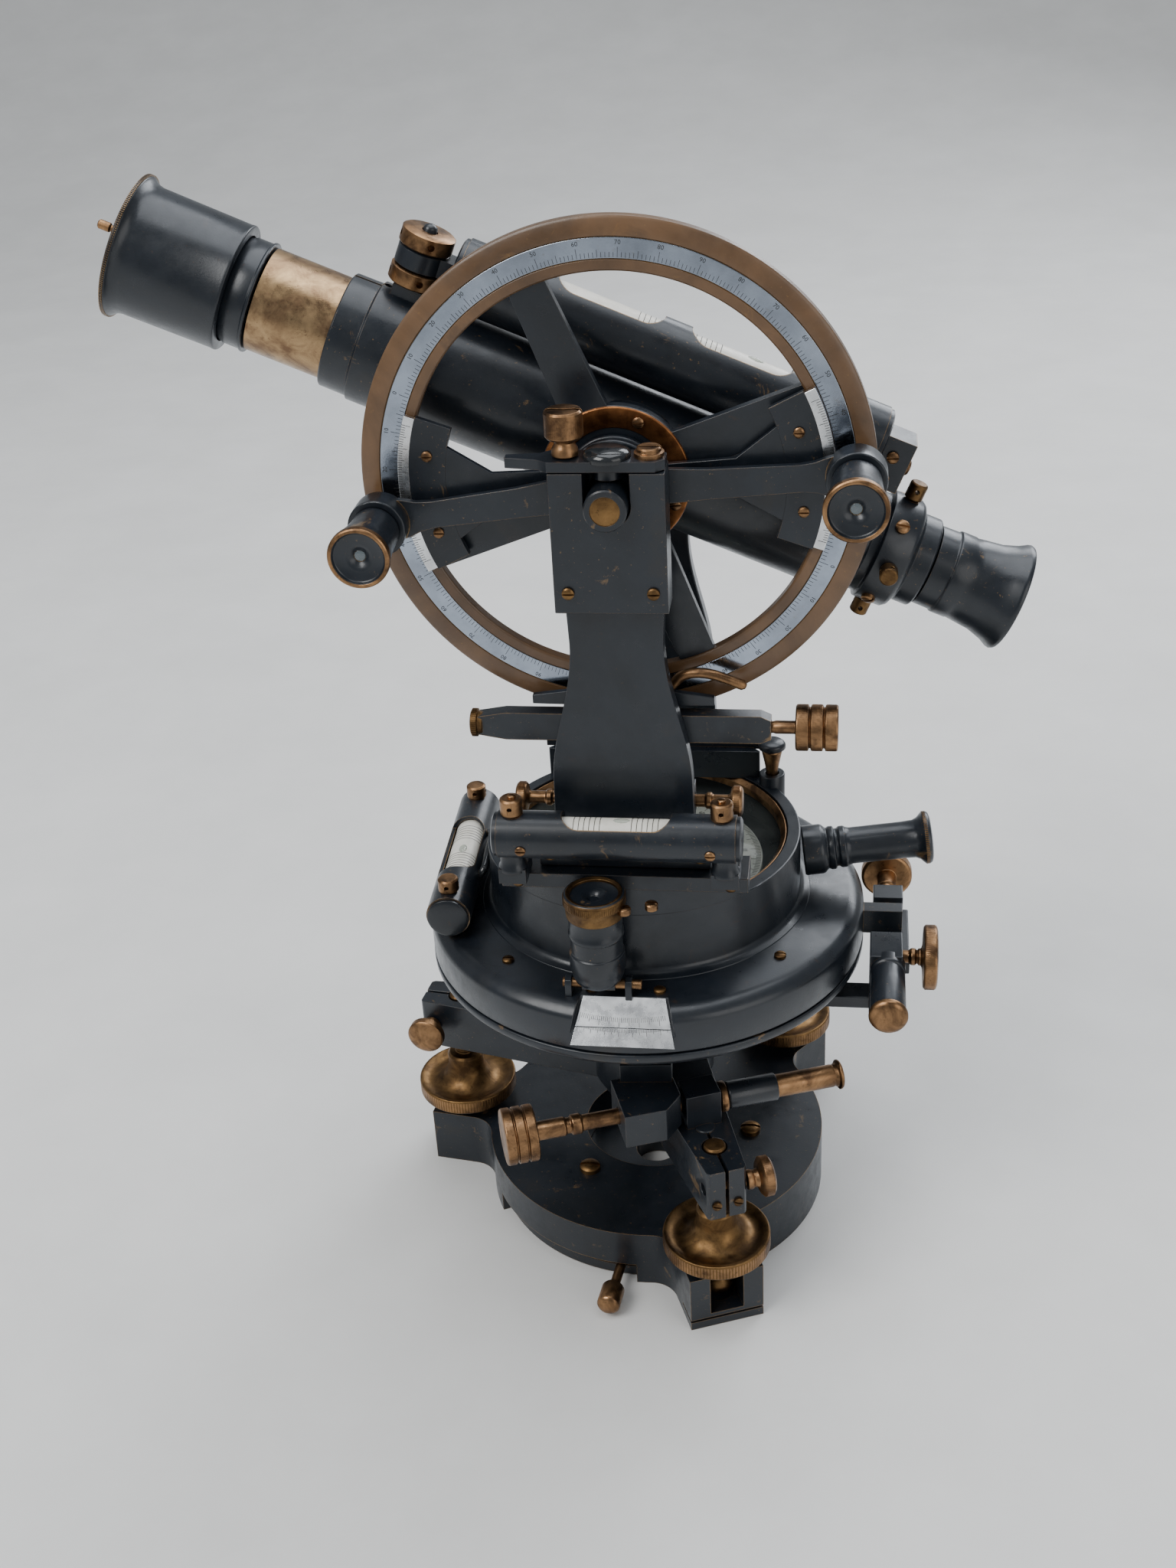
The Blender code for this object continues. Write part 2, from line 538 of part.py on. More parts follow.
def make_compass():
    top = DRUM_TOP - BITE - GAP
    bezel = turned([(BEZEL_R - BEZEL_WIDTH, top - 2.0), (BEZEL_R - 0.6, top), (BEZEL_R - 0.2, top),
                    (BEZEL_R - 0.2, top - 4.0), (BEZEL_R - BEZEL_WIDTH, top - 4.0)], sides=64, closed=True)
    part(bezel, "compass_bezel", "brass")
    glass = rod((0, 0, top - 5.8), (0, 0, top - 4.0 - GAP), DRUM_R - DRUM_WALL - GAP, sides=64)
    part(glass, "compass_glass", "glass")
    part(ring(DIAL_R, DIAL_R - 10.5, DRUM_FLOOR + GAP, DRUM_FLOOR + 3.0, sides=64), "compass_dial",
         "enamel")
    outline = [(-26, 0), (-20, -1.1), (-2.6, -1.6), (0, -3.2), (2.6, -1.6), (20, -1.1), (26, 0),
               (20, 1.1), (2.6, 1.6), (0, 3.2), (-2.6, 1.6), (-20, 1.1)]
    needle = slab(outline, DRUM_FLOOR + 5.0, DRUM_FLOOR + 6.0, matrix=Matrix.Rotation(radians(64), 4, "Z"))
    hub = turned([(0, DRUM_FLOOR + 7.0), (1.8, DRUM_FLOOR + 6.7), (2.6, DRUM_FLOOR + 4.4),
                  (0, DRUM_FLOOR + 4.4)],
                 sides=16)
    dimple = rod((0, 0, DRUM_FLOOR + 3), (0, 0, DRUM_FLOOR + 6.2), 1.9, 0.3, sides=16)
    join(needle, hub)
    cut(needle, dimple)
    part(needle, "compass_needle", "silver")


def make_compass_reader():
    root = Vector((*polar(DRUM_R, 5.5), 128.5))
    way = Vector((*polar(1, 5.5), 0.10)).normalized()
    tube = turned([(0, 41.2), (7.4, 41.2), (8.3, 40.2), (8.3, 38.8), (7.2, 37.6), (6.2, 36.6), (5.9, 15),
                   (6.3, 14), (6.7, 12.6), (6.1, 11.6), (7.0, 10.4), (6.6, 9.0), (8.0, 7.0),
                   (8.0, GAP + 0.6),
                   (0, GAP + 0.6)], root, way, sides=28)
    part(tube, "compass_reader", "lacquer")


def make_plate_level(name, centre, turn):
    """A spirit level in a slotted tube, with the vial inside and a capstan screw at each end."""
    mount = frame(f"{name}_frame", centre, (0, 0, turn))
    half = PLATE_LEVEL_HALF
    tube = ring(PLATE_LEVEL_R, PLATE_LEVEL_R - 1.3, -half + 1.6, half - 1.6, axis=(1, 0, 0), sides=28,
                parent=mount)
    for end in (-1, 1):
        join(tube, rod((end * (half - 2.4), 0, 0), (end * half, 0, 0), PLATE_LEVEL_R - 0.5, sides=28,
                       parent=mount))
    window = slab([(-15, -5.2), (15, -5.2)] + arc(5.2, -90, 90, 5, (15, 0))[1:-1]
                  + [(15, 5.2), (-15, 5.2)] + arc(5.2, 90, 270, 5, (-15, 0))[1:-1], 1.5, 12, parent=mount)
    cut(tube, window)
    return mount, tube, half


def make_levels():
    centre = (-0.7, -54.4, 168.2)
    mount, tube, half = make_plate_level("front_level", centre, 0)
    for end in (-1, 1):
        foot = rod((end * 30.5, 0, -PLATE_LEVEL_R + BITE), (end * 30.5, 0, -11.0), 3.0, sides=16,
                   parent=mount)
        arm = box((end * 30.5 - 4, -3, -15.2), (end * 30.5 + 4, 8.0, -10.4), mount)
        join(tube, foot, arm)
    part(tube, "front_level_tube", "lacquer")
    add_level_fittings("front", mount, half)
    centre = (-58.6, 0.0, COVER_TOP + 8.2)
    mount, tube, half = make_plate_level("left_level", centre, 92)
    for end in (-1, 1):
        foot = rod((end * 29, 0, -PLATE_LEVEL_R + BITE), (end * 29, 0, -8.2 + GAP), 3.4, sides=16,
                   parent=mount)
        join(tube, foot)
    part(tube, "left_level_tube", "lacquer")
    add_level_fittings("left", mount, half)


def add_level_fittings(name, mount, half):
    vial = rod((-half + 3, 0, 0), (half - 3, 0, 0), PLATE_LEVEL_R - 1.3 - GAP, sides=20, parent=mount)
    part(vial, f"{name}_level_vial", "glass")


# ---------------------------------------------------------------- standards

def neck_outline():
    """The face of a standard below its bearing block: a waist that flares to a wide foot."""
    bottom, top = SEAT_TOP + LEDGE_H + GAP + BITE, BLOCK_BOTTOM + 4
    waist = 222.0
    flare = 178.0
    right = [(NECK_FOOT_HALF + 0.6, bottom), (NECK_FOOT_HALF, flare)]
    for i in range(1, 7):
        share = i / 7
        ease = (1 - cos(pi * share)) / 2
        right.append((NECK_FOOT_HALF - (NECK_FOOT_HALF - NECK_TOP_HALF) * ease,
                      flare + (waist - flare) * share))
    right += [(NECK_TOP_HALF, waist), (NECK_TOP_HALF + 0.6, top)]
    return right + [(-x, z) for x, z in reversed(right)]


def make_standard(name, side):
    """side is -1 for the front standard and 1 for the rear one."""
    upright = Matrix.Rotation(radians(90), 4, "X")
    low, high = sorted((-side * NECK_BACK, -side * NECK_FRONT))
    neck = slab(neck_outline(), low, high, matrix=upright)
    y_in, y_out = sorted((side * (NECK_BACK + STEP), side * BLOCK_FRONT))
    block = box((-BLOCK_HALF, y_in, BLOCK_BOTTOM), (BLOCK_HALF, y_out, BLOCK_TOP))
    y_foot = sorted((side * (NECK_BACK - BITE), side * (DRUM_R - 3.5)))
    foot = box((-NECK_FOOT_HALF - 5, y_foot[0], SEAT_TOP + LEDGE_H + GAP),
               (NECK_FOOT_HALF + 5, y_foot[1], SEAT_TOP + LEDGE_H + 3.2))
    join(neck, block, foot)
    if side < 0:
        for x in (-19.5, 12.5):
            lug = box((x, -NECK_BACK - PLUNGE, TRUNNION_Z - CLIP_DROP - 5), (x + 7, -VERNIER_LAYER[0] + 3.0,
                                                                             TRUNNION_Z - CLIP_DROP + 5))
            join(neck, lug)
        bore = rod((-21, -sum(VERNIER_LAYER) / 2, TRUNNION_Z - CLIP_DROP),
                   (21, -sum(VERNIER_LAYER) / 2, TRUNNION_Z - CLIP_DROP), 1.9 + GAP, sides=16)
        cut(neck, bore)
    half = PIVOT_R + RUN - STEP
    notch = box((-half, -BLOCK_FRONT - 3, TRUNNION_Z), (half, BLOCK_FRONT + 3, BLOCK_TOP + PLUNGE))
    saddle = rod((0, -BLOCK_FRONT - 3, TRUNNION_Z), (0, BLOCK_FRONT + 3, TRUNNION_Z), PIVOT_R + RUN,
                 sides=32)
    cut(neck, notch, saddle)
    part(neck, f"{name}_standard", "lacquer")
    inner, outer = side * (NECK_BACK + 0.6), side * (BLOCK_FRONT - 0.2)
    y_low, y_high = sorted((inner, outer))
    cap = slab([(-BLOCK_HALF, y_low), (BLOCK_HALF - 2.5, y_low), (BLOCK_HALF, y_low + 2.5),
                (BLOCK_HALF, y_high - 2.5), (BLOCK_HALF - 2.5, y_high), (-BLOCK_HALF, y_high),
                (-27, (y_low + y_high) / 2 + 1.4), (-27, (y_low + y_high) / 2 - 1.4)],
               BLOCK_TOP + GAP, BLOCK_TOP + 3.1)
    middle = side * (NECK_BACK + BLOCK_FRONT) / 2
    pad = turned([(0, 2.4), (5.6, 2.0), (6.4, 1.0), (6.4, -BITE), (0, -BITE)],
                 (0, middle, BLOCK_TOP + 3.1), sides=28)
    tongue = rod((0, middle, BLOCK_TOP + 1), (0, middle, TRUNNION_Z + PIVOT_R + RUN), 4.2, sides=16)
    join(cap, pad, tongue)
    part(cap, f"{name}_bearing_cap", "lacquer")
    screw = turned([(0, 12.4), (4.6, 12.4), (5.2, 11.8), (5.2, 5.2), (4.6, 4.6), (2.8, 3.6), (3.6, 1.4),
                    (3.6, 0),
                    (0, 0)], (-11.0, middle, BLOCK_TOP + 3.1 + GAP), sides=24)
    part(screw, f"{name}_cap_screw", "brass")


def on_trunnion(lean=0.0):
    """The matrix that stands a flat outline up, facing the front, round the trunnion axis."""
    return (Matrix.Translation((0, 0, TRUNNION_Z * MM)) @ Matrix.Rotation(radians(-lean), 4, "Y")
            @ Matrix.Rotation(radians(90), 4, "X"))


def make_vernier_frame():
    """The frame that carries the vertical verniers, held to the front standard by its tail."""
    pose = on_trunnion(VERNIER_LEAN)
    back, front = VERNIER_LAYER
    hub = ring(13.2, PIVOT_R + 2.2 + RUN, back, front, sides=36)
    hub.matrix_basis = pose
    for side in (-1, 1):
        arm = [(side * 11, -4.5), (side * 11, 4.5), (side * 33, 5.0), (side * 50, 17.0), (side * 50, -17.0),
               (side * 33, -6.0)]
        centre = 0 if side > 0 else 180
        rim = sector(SILVER_INNER, 46, centre - VERNIER_SPREAD, centre + VERNIER_SPREAD, 12)
        join(hub, slab(arm if side > 0 else arm[::-1], back + STEP, front - STEP, matrix=pose),
             slab(rim, back, front, matrix=pose))
    tail = slab([(-TAIL_HALF, -CLIP_DROP - 4), (TAIL_HALF, -CLIP_DROP - 4), (7, -9), (-7, -9)],
                back + STEP * 2,
                front - STEP * 2, matrix=on_trunnion())
    join(hub, tail)
    part(hub, "vernier_frame", "lacquer")


def make_clip_screws():
    """The pair of screws that hold the vernier frame's tail between them."""
    y = -sum(VERNIER_LAYER) / 2
    z = TRUNNION_Z - CLIP_DROP
    for name, side in (("left", -1), ("right", 1)):
        profile = [(0, 14.0), (4.2, 14.0), (4.6, 13.4), (4.6, 11.0), (4.2, 10.4), (1.9, 10.4),
                   (1.9, -13.0), (0, -13.4)]
        start = side * 19.5
        part(turned(profile, (start, y, z), (side, 0, 0), sides=24), f"clip_screw_{name}", "brass")


def make_magnifiers():
    """The bent arms that swing along the vertical verniers, each with its magnifier."""
    pose = on_trunnion(MAGNIFIER_LEAN)
    back, front = MAGNIFIER_LAYER
    arms = ring(10.6, PIVOT_R + RUN, back, front, sides=36)
    arms.matrix_basis = pose
    for side in (-1, 1):
        strip = [(side * 8, -5.2), (side * 8, 5.2), (side * 26, 3.2), (side * 50, 1.9), (side * 57, 3.0),
                 (side * 62, 4.0), (side * 62, -8.6), (side * 57, -7.6), (side * 50, -5.7),
                 (side * 26, -5.2)]
        join(arms, slab(strip if side > 0 else strip[::-1], back + STEP, front - STEP, matrix=pose))
        for start, end, radius, operation in ((back - 0.2, front + 5.4, 8.0, join),
                                              (back - 3, front + 8, 5.9 + GAP, cut)):
            eye = rod((0, 0, start), (0, 0, end), radius, sides=28)
            centre = Vector((side * MAGNIFIER_REACH, -2.4, (start + end) / 2)) * MM
            eye.matrix_basis = pose @ Matrix.Translation(centre)
            operation(arms, eye)
    part(arms, "magnifier_arms", "lacquer")
    for name, side in (("left", -1), ("right", 1)):
        tube = turned([(0, 60.6), (6.4, 60.6), (6.6, 63.0), (7.9, 63.0), (8.4, 62.4), (8.4, 59.8),
                       (7.9, 59.2), (7.9, 55), (7.0, 53.6), (6.6, 44), (5.9, 43.4), (5.9, back + 0.4),
                       (0, back + 0.4)], sides=28)
        tube.matrix_basis = pose @ Matrix.Translation(Vector((side * MAGNIFIER_REACH, -2.4, 0)) * MM)
        part(tube, f"magnifier_{name}", "lacquer")


def make_circle(axis_frame):
    """The vertical circle, in the frame that tilts with the telescope."""
    face = turned([(CIRCLE_R, 0), (CIRCLE_R, -CIRCLE_T), (CIRCLE_INNER, -CIRCLE_T), (CIRCLE_INNER, 0)],
                  (0, -CIRCLE_FRONT, 0), (0, -1, 0), sides=96, parent=axis_frame, closed=True)
    upright = Matrix.Rotation(radians(90), 4, "X")
    for angle in (45, 135):
        spoke = box((-CIRCLE_INNER - 3, -SPOKE_WIDTH / 2, CIRCLE_FRONT - CIRCLE_T + 0.4),
                    (CIRCLE_INNER + 3, SPOKE_WIDTH / 2, CIRCLE_FRONT - CIRCLE_T + 0.4 + SPOKE_T),
                    axis_frame)
        spoke.matrix_basis = upright @ Matrix.Rotation(radians(angle), 4, "Z")
        join(face, spoke)
    boss = rod((0, -CIRCLE_FRONT + CIRCLE_T, 0), (0, -CIRCLE_FRONT + 0.4, 0), HUB_RING_R, sides=40,
               parent=axis_frame)
    join(face, boss)
    cut(face, rod((0, -40, 0), (0, -10, 0), PIVOT_R + 2.2 + GAP, sides=28, parent=axis_frame))
    part(face, "vertical_circle", "lacquer")


def make_trunnion(axis_frame):
    """The barrel with its cross axle, the split collar at its mouth and the seats of the level."""
    seat = PIVOT_R + 2.2
    inner = CIRCLE_FRONT - CIRCLE_T - GAP
    axle = turned([(0, PIVOT_END), (PIVOT_R - 0.4, PIVOT_END), (PIVOT_R, PIVOT_END - 0.4),
                   (PIVOT_R, CLAMP_LAYER[1] + 0.2), (seat, CLAMP_LAYER[1] + 0.2), (seat, inner),
                   (12, inner), (14, 12),
                   (14, -12), (9, -30), (9, -NECK_BACK + GAP + 0.4), (PIVOT_R, -NECK_BACK + GAP + 0.4),
                   (PIVOT_R, -PIVOT_END + 0.4), (PIVOT_R - 0.4, -PIVOT_END), (0, -PIVOT_END)],
                  axis=(0, -1, 0), sides=32, parent=axis_frame)
    barrel = rod((BARREL_FRONT, 0, 0), (BARREL_REAR, 0, 0), BARREL_R, sides=40, parent=axis_frame)
    collar = rod((COLLAR_FRONT, 0, 0), (BARREL_FRONT + 1, 0, 0), BARREL_R - 0.9, sides=40,
                 parent=axis_frame)
    foot = box((TOP_LEVEL_FRONT - 15, -4.4, BARREL_R - 2), (TOP_LEVEL_FRONT - 5, 4.4, BARREL_R + 2.5),
               axis_frame)
    stud = rod((LEVEL_STUD, 0, BARREL_R), (LEVEL_STUD, 0, TOP_LEVEL_UP + 9.6), 2.0, sides=16,
               parent=axis_frame)
    pinion_boss = rod((FOCUS_AT, 8, -2.7), (FOCUS_AT, BARREL_R + 3.0, -2.7), 6.6, sides=32,
                      parent=axis_frame)
    join(barrel, axle, collar, foot, stud, pinion_boss)
    bore = rod((COLLAR_FRONT - PLUNGE, 0, 0), (BARREL_REAR + PLUNGE, 0, 0), DRAW_R + RUN, sides=40,
               parent=axis_frame)
    slit = box((COLLAR_FRONT - PLUNGE, -0.5, 5), (COLLAR_FRONT + 9, 0.5, 22), axis_frame)
    stop_hole = rod((COLLAR_FRONT + 9, 0, 5), (COLLAR_FRONT + 9, 0, 22), 1.2, sides=12, parent=axis_frame)
    shaft = rod((FOCUS_AT, BARREL_R - 1, -2.7), (FOCUS_AT, BARREL_R + 6, -2.7), 2.5 + GAP, sides=16,
                parent=axis_frame)
    cut(barrel, bore, slit, stop_hole, shaft)
    part(barrel, "telescope_barrel", "lacquer")
    focus = turned([(0, 15.4), (8.2, 15.4), (9.0, 14.6), (9.0, 9.6), (8.2, 8.8), (4.6, 8.0), (4.0, 4.4),
                    (2.5, 4.0),
                    (2.5, 1.2), (0, 1.2)], (FOCUS_AT, BARREL_R - 0.6, -2.7), (0, 1, 0), sides=28,
                    parent=axis_frame)
    part(focus, "focus_knob", "brass")


def make_optics(axis_frame):
    draw = ring(DRAW_R, DRAW_R - 1.2, DRAW_FRONT, -34, axis=(1, 0, 0), sides=36, parent=axis_frame)
    part(draw, "draw_tube", "brass")
    cell = turned([(DRAW_R + 1.1, 0), (DRAW_R + 1.1, -0.8), (DRAW_R + 0.6, -1.0), (DRAW_R + 0.6, -5.8),
                   (DRAW_R + 0.2, -6.4), (DRAW_R + 0.2, -12),
                   (11.5, -12), (11.5, -2), (DRAW_R - 1.2, -1.4), (DRAW_R - 1.2, 0)],
                  (DRAW_FRONT - GAP, 0, 0), (1, 0, 0), sides=36, parent=axis_frame, closed=True)
    part(cell, "objective_cell", "lacquer")
    lens = turned([(0, -7.4), (6, -7.8), (11.2, -9), (11.2, -11.2), (6, -12.2), (0, -12.6)],
                  (DRAW_FRONT, 0, 0), (1, 0, 0), sides=32, parent=axis_frame)
    part(lens, "objective_lens", "glass")
    inner = DRAW_R + 0.2 + GAP
    cap = turned([(inner, CAP_REAR - CAP_REAR), (CAP_R - 0.3, 0), (CAP_R, -0.6),
                  (CAP_R + 0.4, -28.6),
                  (CAP_LIP_R - 0.6, -30.6), (CAP_LIP_R, -31.4), (CAP_LIP_R - 0.6, -32.3),
                  (CAP_LIP_R - 2, -32.3),
                  (inner + 1.5, -27), (inner, -22)],
                 (CAP_REAR, 0, 0), (1, 0, 0), sides=40, parent=axis_frame, closed=True)
    part(cap, "ray_shade", "lacquer")
    cap_plate = rod((CAP_FRONT + 4.6, 0, 0), (CAP_FRONT + 5.8, 0, 0), inner + 0.6, sides=36,
                    parent=axis_frame)
    side, rise = TAB_AT
    join(cap_plate, rod((CAP_FRONT - 5.6, side, rise), (CAP_FRONT + 5, side, rise), TAB_R, sides=12,
                        parent=axis_frame))
    part(cap_plate, "dust_cap", "lacquer")


def make_eye_end(axis_frame):
    start = BARREL_REAR + GAP
    reticle = turned([(0, 0), (15.6, 0), (16.2, -0.8), (16.2, -5.6), (14.6, -6.2), (14.6, -8.4), (16.0, -9),
                      (16.0, -17.4), (15.2, -18.6), (13.0, -19.4), (13.0, -25), (0, -25)],
                     (start, 0, 0), (-1, 0, 0), sides=36, parent=axis_frame)
    cut(reticle, rod((start - 1, 0, 0), (start + 30, 0, 0), 8.8, sides=28, parent=axis_frame))
    part(reticle, "reticle_housing", "lacquer")
    tube = turned([(0, 0), (11.6, 0), (11.6, -5.4), (12.2, -6), (12.2, -10.4), (12.0, -11), (12.6, -18),
                   (14.6, -23.6), (15.7, -25.6), (15.7, -26.8), (14.6, -27.2), (12.2, -26.4), (4.2, -22),
                   (0, -22)], (start + 25 + GAP, 0, 0), (-1, 0, 0), sides=36, parent=axis_frame)
    join(tube, rod((start + 3, 0, 0), (start + 27, 0, 0), 8.3, sides=28, parent=axis_frame))
    part(tube, "eyepiece", "lacquer")


def make_top_level(axis_frame):
    """The long spirit level over the telescope."""
    up = TOP_LEVEL_UP
    front, rear = TOP_LEVEL_FRONT, TOP_LEVEL_REAR
    tube = ring(TOP_LEVEL_R, TOP_LEVEL_R - 1.4, front + 4, rear - 2, (0, 0, up), (1, 0, 0), sides=28,
                parent=axis_frame)
    for end, way in ((front, -1), (rear, 1)):
        join(tube, turned([(0, 0.5), (TOP_LEVEL_R - 1.6, 0), (TOP_LEVEL_R - 1, -0.6),
                           (TOP_LEVEL_R - 1, -6), (0, -6)],
                          (end, 0, up), (way, 0, 0), sides=28, parent=axis_frame))
    lug = box((LEVEL_STUD - 5.5, -4.3, up - LUG_HALF + STEP), (front + 3.1, 4.5, up + LUG_HALF - STEP),
              axis_frame)
    lug_round = rod((LEVEL_STUD, 0, up - LUG_HALF), (LEVEL_STUD, 0, up + LUG_HALF), NUT_R - 0.4, sides=24,
                    parent=axis_frame)
    block = box((rear - 1, -5.6, BARREL_R + GAP), (rear + 9, 5.6, up + 4.3), axis_frame)
    join(tube, lug, lug_round, block)
    cut(tube, rod((LEVEL_STUD, 0, up - 6), (LEVEL_STUD, 0, up + 6), 2.0 + GAP, sides=16, parent=axis_frame))
    for low, high in TOP_LEVEL_WINDOWS:
        middle, half = (low + high) / 2, (high - low) / 2 - 5.6
        window = slab([(middle - half, -5.6), (middle + half, -5.6)] + arc(5.6, -90, 90, 5,
                                                                           (middle + half, 0))[1:-1]
                      + [(middle + half, 5.6), (middle - half, 5.6)]
                      + arc(5.6, 90, 270, 5, (middle - half, 0))[1:-1], up + 1.6, up + 14,
                      parent=axis_frame)
        cut(tube, window)
    part(tube, "top_level_tube", "lacquer")
    vial = rod((front + 7, 0, up), (rear - 7, 0, up), TOP_LEVEL_R - 1.4 - GAP, sides=20, parent=axis_frame)
    part(vial, "top_level_vial", "glass")
    for name, low in (("upper", up + LUG_HALF + GAP), ("lower", up - LUG_HALF - GAP - NUT_H)):
        nut = ring(NUT_R, 2.0 + GAP, low, low + NUT_H, (LEVEL_STUD, 0, 0), sides=24, parent=axis_frame)
        part(nut, f"level_nut_{name}", "brass")


def make_vertical_tangent():
    """The bar behind the front standard, its screw, and the clamp arm that dips into its slot."""
    middle = -(NECK_BACK + CLAMP_LAYER[0]) / 2
    half = (NECK_BACK - CLAMP_LAYER[0]) / 2 - GAP
    drop = TRUNNION_Z - BAR_Z
    tall, nose = BAR_RISE, BAR_NOSE
    bar = slab([(-BAR_HALF, -drop - nose), (-BAR_HALF + 8, -drop - tall), (BAR_HALF - 3, -drop - tall),
                (BAR_HALF, -drop - nose), (BAR_HALF, -drop + nose), (BAR_HALF - 3, -drop + tall),
                (-BAR_HALF + 8, -drop + tall), (-BAR_HALF, -drop + nose)],
               -middle - half, -middle + half, matrix=on_trunnion())
    join(bar, rod((-BAR_HALF - 2.2, middle, BAR_Z), (-BAR_HALF + BITE, middle, BAR_Z), BAR_CAP_R, sides=28))
    slot = box((-5.2, middle - half - PLUNGE, BAR_Z - 2.6), (5.2, middle + half + PLUNGE, BAR_Z + 8))
    cut(bar, slot, rod((5, middle, BAR_Z), (BAR_HALF + PLUNGE, middle, BAR_Z), 1.7 + GAP, sides=16))
    part(bar, "tangent_bar", "lacquer")
    screw = turned([(0, KNOB_L), (KNOB_R - 0.4, KNOB_L), (KNOB_R, KNOB_L - 0.5), (KNOB_R, KNOB_L - 3.4),
                    (KNOB_R - 0.7, KNOB_L - 3.9), (KNOB_R, KNOB_L - 4.4), (KNOB_R, 4.4),
                    (KNOB_R - 0.7, 3.9),
                    (KNOB_R, 3.4), (KNOB_R, 0.5), (KNOB_R - 0.4, 0), (1.9, 0), (1.9, -5.6), (1.7, -6.4),
                    (1.7, -44.2), (0, -44.2)], (48.8, middle, BAR_Z), (1, 0, 0), sides=24)
    part(screw, "vertical_tangent_screw", "brass")
    back, front = CLAMP_LAYER
    arm = ring(13.0, PIVOT_R + 2.2 + RUN, back, front, sides=36)
    arm.matrix_basis = on_trunnion()
    shape = [(-6, -10), (-5, -55), (-8, -60), (-26, -62.5), (-26, -65.2), (-3, -65.6), (-1.9, -66.4),
             (-1.9, -drop - 1.4), (1.9, -drop - 1.4), (1.9, -66.4), (3, -65.6), (26, -65.2), (26, -62.5),
             (8, -60), (5, -55), (6, -10)]
    y = -(back + front) / 2
    lever = bent_rod([(6.0, y, 199.4), (13.0, y, 204.5), (17.5, y - 0.6, 209.0), (24.5, y - 0.8, 209.6),
                      (34.0, y - 0.4, 206.0)], 1.5)
    join(arm, slab(shape, back + STEP, front - STEP, matrix=on_trunnion()), lever)
    part(arm, "clamp_arm", "lacquer")


def make_front_reader():
    """The magnifier that tips over the horizontal vernier on a cross pin."""
    tube = turned([(0, READER_TOP - 2.2), (6.7, READER_TOP - 2.2), (6.9, READER_TOP), (8.2, READER_TOP),
                   (8.9, READER_TOP - 0.8), (8.9, READER_TOP - 3.0),
                   (8.4, READER_TOP - 3.6), (7.6, READER_TOP - 8), (7.6, READER_TOP - 19),
                   (8.3, READER_TOP - 20),
                   (8.3, READER_TOP - 24), (7.4, READER_TOP - 25), (7.8, READER_TOP - 27),
                   (7.4, READER_TOP - 30),
                   (5.6, READER_TOP - 31), (0, READER_TOP - 31)],
                  (READER_X, READER_Y, 0), sides=28)
    low = READER_TOP - 31
    join(tube, box((READER_X - 5, READER_Y - 2.0, low - 2.4), (READER_X + 5, READER_Y + 2.0, low + 3)),
         rod((READER_X - 11, READER_Y, low - 1.0), (READER_X + 13, READER_Y, low - 1.0), 1.5, sides=12))
    part(tube, "front_reader", "lacquer")


def make_upper_clamp():
    """The clamp on the plate's edge, with the spring barrel and the screw of the fine motion."""
    x, z = UPPER_TANGENT_X, UPPER_TANGENT_Z
    body = box((71.5, -25, 87.5), (81.5, -11, 109.5))
    jaw = box((57, -22, 87.5), (74, -14, 91.8))
    bridge = box((78.5, -14, 95.5), (84.0, 17, 99.6))
    nut = box((72.5, 9, 95.5), (82.0, 17, 109.0))
    barrel = rod((x, -20, z), (x, -49.0, z), 5.4, sides=24)
    cap = rod((x, -48.6, z), (x, -50.2, z), 5.9, sides=24)
    join(body, jaw, bridge, nut, barrel, cap)
    cut(body, rod((x, 6, z), (x, 20, z), 2.2 + GAP, sides=16),
        rod((80, -17.2, z), (90, -17.2, z), 2.0 + GAP, sides=16))
    part(body, "upper_clamp", "lacquer")
    wheel = turned([(0, 4.6), (9.4, 4.6), (10.2, 3.8), (10.2, 0.8), (9.4, 0), (2.6, 0), (2.6, -1.2),
                    (2.0, -1.6),
                    (2.6, -2.2), (2.6, -3.4), (2.0, -4.2), (2.0, -6.6), (0, -6.6)], (87.6, -17.2, z),
                    (1, 0, 0), sides=32)
    part(wheel, "upper_clamp_wheel", "brass")
    screw = turned([(0, 5.0), (7.8, 5.0), (8.4, 4.4), (8.4, 0.6), (7.8, 0), (3.0, 0), (3.0, -7.0),
                    (2.2, -7.6),
                    (2.2, -23.4), (0, -23.4)], (x, 28.4, z), (0, 1, 0), sides=28)
    part(screw, "upper_tangent_screw", "brass")


def make_lifter():
    """The conical knob that lifts the compass needle off its point."""
    profile = [(0, 11.4), (3.6, 11.4), (4.4, 10.6), (4.4, 8.8), (3.6, 7.8), (2.4, 3.0), (1.9, 0),
               (1.9, -2.6), (0, -2.6)]
    part(turned(profile, (*LIFTER_AT, DRUM_TOP + 3.4), sides=20), "compass_lifter", "brass")


def build():
    make_base()
    make_lock()
    for name, angle in FOOT_ANGLES.items():
        make_foot_screw(name, angle)
        make_arm_clamp(name, angle)
    make_tribrach()
    make_lower_clamp()
    make_lower_plate()
    make_cover()
    make_compass()
    make_compass_reader()
    make_levels()
    make_standard("front", -1)
    make_standard("rear", 1)
    make_vernier_frame()
    make_clip_screws()
    make_magnifiers()
    make_front_reader()
    make_upper_clamp()
    make_lifter()
    axis_frame = frame("trunnion_axis", (0, 0, TRUNNION_Z), (0, TILT, 0))
    make_circle(axis_frame)
    make_trunnion(axis_frame)
    make_optics(axis_frame)
    make_eye_end(axis_frame)
    make_top_level(axis_frame)
    make_vertical_tangent()


build()
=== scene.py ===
"""Looks of a transit theodolite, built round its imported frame. Blender 4.5, laid out as an add-on.

Every piece is made in millimetres in the frame's own axes and becomes metres in its mesh.
"""

from math import asin, atan2, cos, degrees, pi, radians, sin, sqrt

